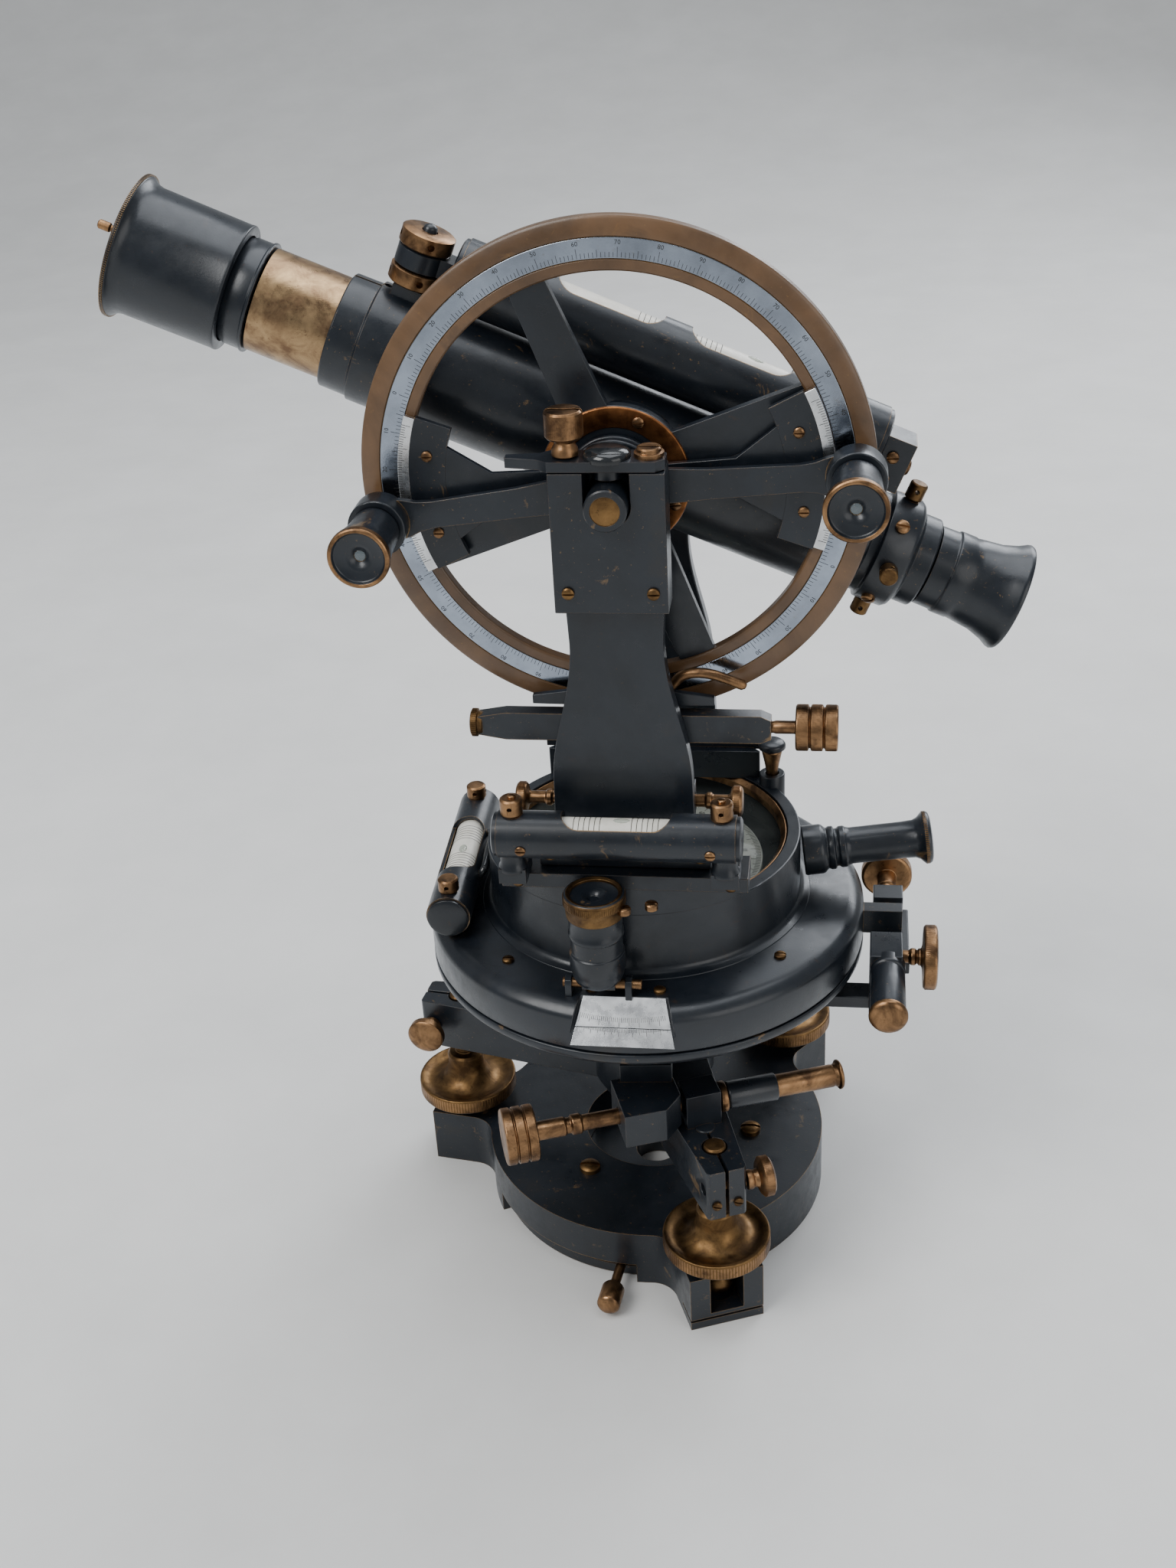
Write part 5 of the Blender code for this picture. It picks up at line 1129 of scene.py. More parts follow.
def level(name, place, radius, half, windows, window_half, floor):
    """A spirit level's tube with its windows, ends and rims; the vial goes in separately."""
    lay = place @ Matrix.Rotation(radians(90), 4, "Y")
    tube = Piece(f"{name}_tube")
    cuts = []
    for a, b in windows:
        near = arc(window_half, 180, 270, 8, (a, 0)) + arc(window_half, 270, 360, 8, (b, 0))
        outline = near + [(b + window_half, radius + 1), (a - window_half, radius + 1)]
        cuts.append(cutter(plate_mesh(outline, floor, radius + 4), Matrix.Rotation(radians(-90), 4, "Y")))
    wall = [(radius, half - 1.6), (radius, -half + 1.6), (radius - 1.3, -half + 1.6),
            (radius - 1.3, half - 1.6)]
    tube.lathe(wall, lay, "worn_lacquer", 80, True, cuts)
    for end in (-1, 1):
        turn = lay @ (Matrix.Identity(4) if end > 0 else Matrix.Rotation(pi, 4, "X"))
        tube.lathe([(0, half), (radius - 1.4, half), (radius - 0.5, half - 0.5), (radius - 0.5, half - 2.2),
                    (radius, half - 2.3), (radius, half - 5.0), (radius - 1.0, half - 5.2),
                    (0, half - 5.2)], turn, "lacquer", 64)
    return tube, lay


def vial(name, lay, radius, half, body, nodes, bubble_at=0.0):
    """A glass vial with its bubble and the lines of its scale."""
    tube = Piece(name)
    tube.lathe([(0, half), (radius * 0.55, half - 0.5), (radius * 0.9, half - 1.8), (radius, half - 3.2),
                (radius, -half + 3.2), (radius * 0.9, -half + 1.8), (radius * 0.55, -half + 0.5),
                (0, -half)],
               lay, "white", 48)
    for at in [k * 1.5 for k in range(-8, 9) if abs(k) > 2]:
        tube.lathe([(radius + 0.06, at + 0.09), (radius + 0.06, at - 0.09), (radius - 0.2, at - 0.09),
                    (radius - 0.2, at + 0.09)], lay, "ink", 32, True)
    bubble = [(1.7 * sin(pi * i / 8), bubble_at + 3.6 * cos(pi * i / 8)) for i in range(9)]
    tube.lathe([(max(r, 0), h) if 0 < i < 8 else (0, h) for i, (r, h) in enumerate(bubble)],
               lay @ Matrix.Translation((-radius + 1.25, 0, 0)), "spirit", 24)
    tube.finish(body, nodes, edge=0)


def capstan(piece, point, radius=3.2, height=6.0, way=(0, 0, 1), finish_name="brass"):
    """A capstan head: a round nut with a stem through it and holes round its side."""
    place = aim(point, way)
    holes = [round_cut((-radius - 1, 0, height * 0.55), (radius + 1, 0, height * 0.55), 0.62, 16),
             round_cut((0, -radius - 1, height * 0.55), (0, radius + 1, height * 0.55), 0.62, 16)]
    piece.lathe([(0, height), (radius - 0.6, height), (radius, height - 0.5), (radius, 0.7),
                 (radius - 0.5, 0.1),
                 (1.3, 0), (1.3, -2), (0, -2)], place, finish_name, 32, cuts=holes)


class THEO_OT_levels(Maker):
    """Builds the two plate levels with their vials, posts and capstan screws"""

    bl_idname = "theodolite.levels"
    bl_label = "Plate levels"

    def make(self):
        place = Matrix.Translation((-0.7, -54.4, 168.2))
        tube, lay = level("front_level", place, 6.9, 35.5, [(-10.5, 10.5)], 5.0, 2.2)
        for end in (-1, 1):
            tube.lathe([(0, -5.2), (3.6, -5.2), (3.6, -9.4), (4.2, -10.2), (4.2, -11.4), (0, -11.4)],
                       place @ Matrix.Translation((end * 30.5, 0, 0)), "lacquer", 32)
            tube.block((end * 30.5 - 4, -3, -15.2), (end * 30.5 + 4, 8.0, -10.4), "lacquer", place)
            capstan(tube, place @ Vector((end * 29.8, 0, 6.4)), 3.2, 5.6)
        tube.finish("alidade", ["front_level_tube"], edge=0.3)
        vial("front_vial", lay, 5.2, 31, "alidade", ["front_level_vial"], 1.5)
        place = Matrix.Translation((-58.6, 0, 125.2)) @ about_z(92)
        tube, lay = level("left_level", place, 6.9, 35.5, [(-10.5, 10.5)], 5.0, 2.2)
        for end in (-1, 1):
            tube.lathe([(0, -5.2), (3.3, -5.2), (3.3, -7.6), (0, -7.6)],
                       place @ Matrix.Translation((end * 29, 0, 0)), "dark_brass", 32)
            capstan(tube, place @ Vector((end * 29, 0, 6.4)), 3.2, 4.8)
        tube.wire([place @ Vector(p) for p in ((-12, -6.4, 1), (-11, -8.2, 3.5), (-3, -8.4, 5),
                                               (8, -8.0, 4.6), (12, -6.2, 3))],
                  1.2, "gloss")
        tube.finish("alidade", ["left_level_tube"], edge=0.3)
        vial("left_vial", lay, 5.2, 31, "alidade", ["left_level_vial"], -2.0)
        spots = [((x, -61.0, 166.6), (0, -1, 0), 1.5) for x in (-27.5, 26.1)]
        spots += [((-30.2, -54.4, 180.2), (0, 0, 1), 1.2), ((29.1, -54.4, 180.2), (0, 0, 1), 1.2)]
        screws("level_screws", "alidade", spots, "brass")


def eye_face(radius, top):
    """The outer part of an eyepiece's face, from the small hole at its middle to the rim."""
    return [(0, top - 2.6), (1.5, top - 2.6), (1.7, top - 2.2), (3.2, top - 1.3), (3.9, top - 1.1),
            (radius - 1.8, top - 1.1),
            (radius - 1.4, top - 0.8), (radius - 1.2, top - 0.2), (radius - 0.8, top),
            (radius - 0.2, top - 0.2)]


class THEO_OT_front_reader(Maker):
    """Builds the tilting magnifier over the front vernier"""

    bl_idname = "theodolite.front_reader"
    bl_label = "Front reader"

    def make(self):
        top, place = 152.5, Matrix.Translation((-7.5, -59.2, 0))
        reader = Piece("front_magnifier").lathe(
            eye_face(8.9, top) + [(8.9, top - 0.8), (8.9, top - 3.2), (8.3, top - 4.2), (7.8, top - 7.5),
                                  (7.8, top - 12.6),
                                  (8.1, top - 13), (8.1, top - 14.2), (7.6, top - 14.6), (7.6, top - 19.6),
                                  (8.1, top - 20), (8.2, top - 25.4), (7.6, top - 26.2), (7.6, top - 27.8),
                                  (7.0, top - 29.4), (5.5, top - 31), (0, top - 31)], place,
                                  "worn_lacquer", SMOOTH)
        reader.lathe([(8.0, top + 0.05), (8.7, top - 0.3), (9.0, top - 0.8), (9.0, top - 3.4),
                      (8.6, top - 4.0),
                      (8.4, top - 7.4), (8.0, top - 7.7), (7.0, top - 7.7), (7.0, top - 0.4)], place,
                      "dark_brass", SMOOTH,
                     True)
        reader.block((-12.5, -61.2, top - 33.2), (-2.5, -57.2, top - 29), "worn_lacquer")
        reader.rod((-18.2, -59.2, top - 32), (5.2, -59.2, top - 32), 1.5, "brass")
        rows = [knurl(9.1, 2.2, Matrix.Translation((-7.5, -59.2, top - 2.1)), "dark_brass")]
        reader.finish("front_reader", ["front_reader"], rows=rows)


# ---------------------------------------------------------------- upper motion

class THEO_OT_upper_motion(Maker):
    """Builds the upper clamp, its wheel, its spring barrel and its fine motion screw"""

    bl_idname = "theodolite.upper_motion"
    bl_label = "Upper motion"

    def make(self):
        x, z = 77.0, 104.5
        clamp = Piece("upper_clamp_body")
        clamp.block((71.5, -25, 87.5), (81.5, -11, 109.5), "lacquer", None,
                    [round_cut((79, -17.2, z), (90, -17.2, z), 2.3)])
        clamp.block((57, -22, 87.5), (74, -14, 91.8), "lacquer")
        clamp.block((78.5, -14, 95.5), (84.0, 17, 99.6), "lacquer")
        clamp.block((72.5, 9, 95.5), (82.0, 17, 109.0), "lacquer", None,
                    [round_cut((x, 6, z), (x, 20, z), 2.5)])
        place = aim((x, -20, z), (0, -1, 0))
        clamp.lathe([(0, 28.4), (4.9, 28.4), (5.3, 27.6), (5.3, 8), (4.6, 7.2), (5.4, 6.4), (5.4, 2),
                     (0, 2)], place,
                    "worn_lacquer", 48)
        clamp.lathe([(0, 30.2), (4.2, 30.1), (5.5, 29.4), (5.9, 28.6), (5.9, 27.6), (5.0, 27), (0, 27)],
                    place, "brass", 48)
        clamp.finish("upper_clamp", ["upper_clamp"], edge=0.4)
        place = aim((87.6, -17.2, z), (1, 0, 0))
        wheel = Piece("upper_clamp_thumb").lathe(
            [(0, 3.2), (4.4, 3.3), (5.2, 4.4), (8.8, 4.6), (9.9, 4.2), (10.1, 3.6), (10.1, 1.0),
             (9.6, 0.3), (4.2, 0),
             (2.7, -0.4), (2.7, -1.2), (2.0, -1.6), (2.7, -2.2), (2.7, -3.4), (2.0, -4.2), (2.0, -6.6),
             (0, -6.6)],
            place, "brass", SMOOTH)
        wheel.finish("upper_clamp_wheel", ["upper_clamp_wheel"],
                     rows=[knurl(10.1, 2.8, place @ Matrix.Translation((0, 0, 2.3)))])
        place = aim((x, 28.4, z), (0, 1, 0))
        screw = Piece("upper_fine_screw").lathe(
            [(0, 5.0), (7.6, 4.9), (8.3, 4.3), (8.3, 0.7), (7.6, 0.1), (3.0, 0), (3.0, -7.0), (2.2, -7.6),
             (2.2, -23.4), (0, -23.4)], place, "brass", SMOOTH)
        screw.finish("upper_tangent_screw", ["upper_tangent_screw"],
                     rows=[knurl(8.3, 3.4, place @ Matrix.Translation((0, 0, 2.5)))])


# ---------------------------------------------------------------- standards

def neck_outline():
    right = [(20.6, 153.1), (20, 178)]
    for i in range(1, 24):
        share = i / 24
        ease = (1 - cos(pi * share)) / 2
        right.append((20 - 7 * ease, 178 + 44 * share))
    right += [(13, 222), (13.6, 238)]
    return right + [(-x, z) for x, z in reversed(right)]


class THEO_OT_standards(Maker):
    """Builds the two standards with their bearing caps and screws"""

    bl_idname = "theodolite.standards"
    bl_label = "Standards"

    def make(self):
        turn = Matrix.Rotation(radians(90), 4, "X")
        for name, side in (("front", -1), ("rear", 1)):
            low, high = sorted((-side * 37.2, -side * 42.5))
            standard = Piece(f"{name}_upright")
            saddle = [round_cut((0, -60, TRUNNION_Z), (0, 60, TRUNNION_Z), 6.2, 48),
                      block_mesh((-6.1, -60, TRUNNION_Z), (6.1, 60, 280))]
            standard.plate(neck_outline(), low, high, "lacquer", turn,
                           [cutter(tool, turn.inverted()) for tool in
                            (round_cut((0, -60, TRUNNION_Z), (0, 60, TRUNNION_Z), 6.2, 48),)])
            y0, y1 = sorted((side * 37.3, side * 48.0))
            standard.block((-15.4, y0, 234), (15.4, y1, 273.4), "worn_lacquer", None, saddle)
            y0, y1 = sorted((side * 36.6, side * 45.8))
            standard.block((-25, y0, 152.5), (25, y1, 155.4), "worn_lacquer")
            if side < 0:
                for x in (-19.5, 12.5):
                    standard.block((x, -38, TRUNNION_Z - 103), (x + 7, -26.5, TRUNNION_Z - 93), "lacquer",
                                   None,
                                   [round_cut((-21, -30.55, TRUNNION_Z - 98),
                                              (21, -30.55, TRUNNION_Z - 98), 2.2)])
            standard.finish("alidade", [f"{name}_standard"], edge=0.45)
            middle = side * 42.6
            y0, y1 = sorted((side * 37.8, side * 47.8))
            cap = Piece(f"{name}_cap")
            cap.plate([(-15.4, y0), (12.9, y0), (15.4, y0 + 2.5), (15.4, y1 - 2.5), (12.9, y1), (-15.4, y1),
                       (-18, y1 - 2.2), (-27, middle + 1.4), (-27, middle - 1.4), (-18, y0 + 2.2)], 273.7,
                       276.5,
                      "lacquer")
            cap.lathe([(0, 2.5), (3.4, 2.4), (5.4, 1.9), (6.3, 1.0), (6.4, 0.4), (6.4, -0.6), (0, -0.6)],
                      Matrix.Translation((0, middle, 276.5)), "gloss", 48)
            cap.rod((0, middle, 271.0), (0, middle, 274.4), 4.2, "lacquer")
            cap.lathe([(0, 2.6), (2.9, 2.6), (3.3, 2.2), (3.3, 1.4), (4.0, 1.2), (4.0, 0), (4.0, -0.5),
                       (0, -0.5)],
                      Matrix.Translation((11.0, middle, 276.5)), "brass", 32,
                      cuts=[block_mesh((-4, -0.45, 1.6), (4, 0.45, 4))])
            cap.finish("alidade", [f"{name}_bearing_cap"], edge=0.35)
            place = Matrix.Translation((-11.0, middle, 276.8))
            thumb = Piece(f"{name}_cap_thumb").lathe(
                [(0, 12.2), (3.0, 12.4), (4.6, 12.2), (5.1, 11.6), (5.1, 5.4), (4.6, 4.8), (3.0, 4.4),
                 (2.6, 3.6),
                 (3.0, 2.6), (3.5, 1.8), (3.6, 0.2), (0, 0.2)], place, "brass", 48,
                cuts=[block_mesh((-6, -0.5, 11.0), (6, 0.5, 14))])
            thumb.finish(f"{name}_cap_screw", [f"{name}_cap_screw"],
                         rows=[knurl(5.1, 5.4, place @ Matrix.Translation((0, 0, 8.5)))])
        spots = [((x, -48, z), (0, -1, 0), 1.7) for x in (-11.5, 11.5) for z in (240,)]
        spots += [((x, s * 44.2, 155.4), (0, 0, 1), 2.1) for x in (-22, 22) for s in (-1, 1)]
        screws("standard_screws", "alidade", spots, "dark_brass")


# ---------------------------------------------------------------- vertical circle and what reads it

class THEO_OT_circle(Maker):
    """Builds the spoked vertical circle with its graduated silver"""

    bl_idname = "theodolite.circle"
    bl_label = "Vertical circle"

    def make(self):
        face = TELESCOPE @ Matrix.Rotation(radians(90), 4, "X")
        circle = Piece("circle_wheel")
        circle.lathe([(69.2, 29.0), (70, 28.4), (70, 25.6), (69.4, 25), (56.6, 25), (56, 25.5),
                      (56, 28.6), (56.5, 29.0),
                      (59.0, 29.0), (59.0, 28.6), (64.8, 28.6), (64.8, 29.0)], face, "brown_lacquer", 192,
                      True)
        circle.lathe([(64.6, 28.95), (64.6, 28.4), (59.2, 28.4), (59.2, 28.95)], face, "polished_silver",
                     192, True)
        for angle in (45, 135, 225, 315):
            circle.plate([(10, -7.0), (22, -6.2), (56, -5.2), (57.4, -5.2), (57.4, 5.2), (56, 5.2),
                          (22, 6.2), (10, 7.0)],
                         25.3, 28.2, "lacquer", face @ about_z(angle))
        circle.lathe([(20.0, 28.6), (20.5, 28.1), (20.5, 25.0), (8.3, 25.0), (8.3, 28.6)], face,
                     "lacquer", 96, True)
        circle.lathe([(20.1, 28.95), (20.4, 28.6), (20.4, 28.2), (14.6, 28.2), (14.6, 28.8),
                      (14.9, 28.95)], face,
                     "orange_brass", 96, True)
        lift = face @ Matrix.Translation((0, 0, 28.96))
        rows = [graduate(sizes().circle_divisions, 0, 360, 59.5, 2.6, lift)]
        circle.finish("telescope", ["vertical_circle"], edge=0.2, rows=rows)
        marks = []
        for a in range(0, 360, 10):
            marks.append((str(min(a % 180, 180 - a % 180)), 63.3, a))
        numerals("circle_numbers", "telescope", marks, 1.7, face @ Matrix.Translation((0, 0, 28.96)))
        way = face.to_3x3() @ Vector((0, 0, 1))
        spots = [(face @ Vector((*polar(17.5, a), 28.8)), way, 1.6) for a in (0, 90, 180, 270)]
        screws("hub_screws", "telescope", spots, "brass")


class THEO_OT_vernier_frame(Maker):
    """Builds the vernier frame, the magnifiers, the clamp arm and the fine motion of the circle"""

    bl_idname = "theodolite.vernier_frame"
    bl_label = "Circle readers"

    def make(self):
        pose = upright(3.5)
        frame_piece = Piece("vernier_arms").lathe(
            [(12.8, 31.6), (13.2, 31.2), (13.2, 29.9), (12.8, 29.5), (8.4, 29.5), (8.4, 31.6)], pose,
            "lacquer", 64, True)
        rows = []
        for side, centre in ((1, 0), (-1, 180)):
            arm = [(side * 11, -4.5), (side * 33, -6.0), (side * 50, -17.0), (side * 50, 17.0),
                   (side * 33, 5.0),
                   (side * 11, 4.5)]
            frame_piece.plate(arm, 29.6, 31.5, "lacquer", pose)
            frame_piece.plate(sector(56.2, 46, centre - 23, centre + 23), 29.5, 31.6, "worn_lacquer", pose)
            frame_piece.plate(sector(59.2, 56, centre - 22.4, centre + 22.4), 29.55, 31.5, "silver", pose)
            rows.append(graduate(61, centre - 20, 40, 59.1, 2.4, pose @ Matrix.Translation((0, 0, 31.52)),
                                 side=-1.0))
        frame_piece.plate([(-4, -102), (4, -102), (7, -9), (-7, -9)], 29.8, 31.3, "lacquer", upright())
        frame_piece.finish("vernier_frame", ["vernier_frame"], edge=0.2, rows=rows)
        spots = [(pose @ Vector((s * 50, t, 31.5)), pose.to_3x3() @ Vector((0, 0, 1)), 1.5)
                 for s in (-1, 1) for t in (-11, 11)]
        screws("vernier_screws", "vernier_frame", spots, "brass")
        for name, side in (("left", -1), ("right", 1)):
            place = aim((side * 19.5, -30.55, TRUNNION_Z - 98), (side, 0, 0))
            clip = Piece(f"clip_{name}").lathe(
                [(0, 14.0), (3.4, 14.0), (4.1, 13.7), (4.5, 13.2), (4.5, 11.2), (4.1, 10.7), (2.6, 10.4),
                 (1.9, 9.8),
                 (1.9, 5.2), (2.5, 4.8), (2.5, 3.4), (1.9, 3.0), (1.9, -13.0), (0, -13.4)], place,
                 "brass", 40)
            clip.finish(f"clip_screw_{name}", [f"clip_screw_{name}"],
                        rows=[knurl(4.6, 1.8, place @ Matrix.Translation((0, 0, 12.2)))])
        pose = upright(5.8)
        arms = Piece("magnifier_yoke").lathe([(10.2, 36.9), (10.6, 36.5), (10.6, 35.0), (10.2, 34.6),
                                              (6.2, 34.6),
                                              (6.2, 36.9)], pose, "lacquer", 64, True)
        for side in (-1, 1):
            strip = [(side * 8, -5.2), (side * 26, -5.2), (side * 50, -5.7), (side * 54, -6.4),
                     (side * 57, -7.6),
                     (side * 62, -8.6), (side * 62, 4.0), (side * 57, 3.0), (side * 54, 2.2),
                     (side * 50, 1.9),
                     (side * 26, 3.2), (side * 8, 5.2)]
            eye = pose @ Matrix.Translation((side * 64.5, -2.4, 0))
            hole = cutter(round_cut((side * 64.5, -2.4, 30), (side * 64.5, -2.4, 45), 6.2, 40))
            arms.plate(strip, 34.72, 36.78, "worn_lacquer", pose, [hole])
            arms.lathe([(7.7, 42.3), (8.0, 42.0), (8.0, 34.8), (7.7, 34.4), (6.2, 34.4), (6.2, 42.3)],
                       eye, "lacquer", 64,
                       True)
        arms.finish("magnifier_arms", ["magnifier_arms"], edge=0.3)
        for name, side in (("left", -1), ("right", 1)):
            eye = pose @ Matrix.Translation((side * 64.5, -2.4, 0))
            tube = Piece(f"magnifier_{name}_tube").lathe(
                eye_face(8.3, 63.0) + [(8.2, 62.4), (8.2, 59.9), (7.7, 59.2), (7.5, 56), (7.1, 53.4),
                                       (6.7, 47), (6.6, 43.2),
                                       (5.9, 42.8), (5.9, 35), (0, 35)], eye, "worn_lacquer", SMOOTH)
            tube.lathe([(7.2, 63.1), (7.9, 63.1), (8.4, 62.7), (8.4, 60.8), (7.9, 60.5), (7.2, 60.5)],
                       eye, "brass", SMOOTH,
                       True)
            tube.lathe([(0, 60.9), (1.0, 60.8), (1.6, 60.6), (1.6, 60.2), (0, 60.2)], eye, "lens", 24)
            tube.finish("magnifier_arms", [f"magnifier_{name}"],
                        rows=[knurl(8.4, 1.2, eye @ Matrix.Translation((0, 0, 61.8)))])
        middle = -34.6
        drop = TRUNNION_Z - 193.5
        outline = [(-42, -drop - 2.9), (-34, -drop - 4.3), (39, -drop - 4.3), (42, -drop - 2.9),
                   (42, -drop + 2.9),
                   (39, -drop + 4.3), (-34, -drop + 4.3), (-42, -drop + 2.9)]
        cuts = [cutter(tool, upright().inverted()) for tool in
                (block_mesh((-5.2, middle - 4, 190.9), (5.2, middle + 4, 202)),
                 round_cut((5, middle, 193.5), (44, middle, 193.5), 2.0))]
        bar = Piece("fine_motion_bar").plate(outline, -middle - 2.3, -middle + 2.3, "worn_lacquer",
                                             upright(), cuts)
        end = aim((-42, middle, 193.5), (-1, 0, 0))
        bar.lathe([(0, 2.2), (3.5, 2.2), (3.9, 1.9), (3.9, 0.3), (3.5, 0), (3.2, -1.2), (0, -1.2)], end,
                  "dark_brass", 48)
        bar.finish("alidade", ["tangent_bar"], edge=0.7,
                   rows=[knurl(4.1, 1.5, end @ Matrix.Translation((0, 0, 1.1)), "dark_brass")])
        place = aim((48.8, middle, 193.5), (1, 0, 0))
        screw = Piece("circle_fine_screw").lathe(
            triple_knob(6.6, 12) + [(1.9, -0.1), (1.9, -5.6), (1.7, -6.2), (1.7, -44.2), (0, -44.2)],
            place, "brass", 48)
        bands = [knurl(6.6, 2.6, place @ Matrix.Translation((0, 0, z))) for z in (2.0, 6.0, 10.0)]
        screw.finish("vertical_tangent_screw", ["vertical_tangent_screw"], rows=bands)
        arm = Piece("circle_clamp_arm").lathe([(12.6, 34.2), (13.0, 33.8), (13.0, 32.4), (12.6, 32.0),
                                               (8.4, 32.0),
                                               (8.4, 34.2)], upright(), "lacquer", 64, True)
        shape = [(-6, -10), (-5, -55), (-8, -60), (-26, -62.5), (-26, -65.2), (-3, -65.6), (-1.9, -66.4),
                 (-1.9, -72.6),
                 (1.9, -72.6), (1.9, -66.4), (3, -65.6), (26, -65.2), (26, -62.5), (8, -60), (5, -55),
                 (6, -10)]
        arm.plate(shape, 32.1, 34.1, "lacquer", upright())
        arm.wire([(6.0, -33.1, 199.4), (13.0, -33.1, 204.5), (17.5, -33.7, 209.0), (24.5, -33.9, 209.6),
                  (34.0, -33.5, 206.0)],
                 1.5, "brass")
        arm.finish("clamp_arm", ["clamp_arm"], edge=0.25)


# ---------------------------------------------------------------- telescope

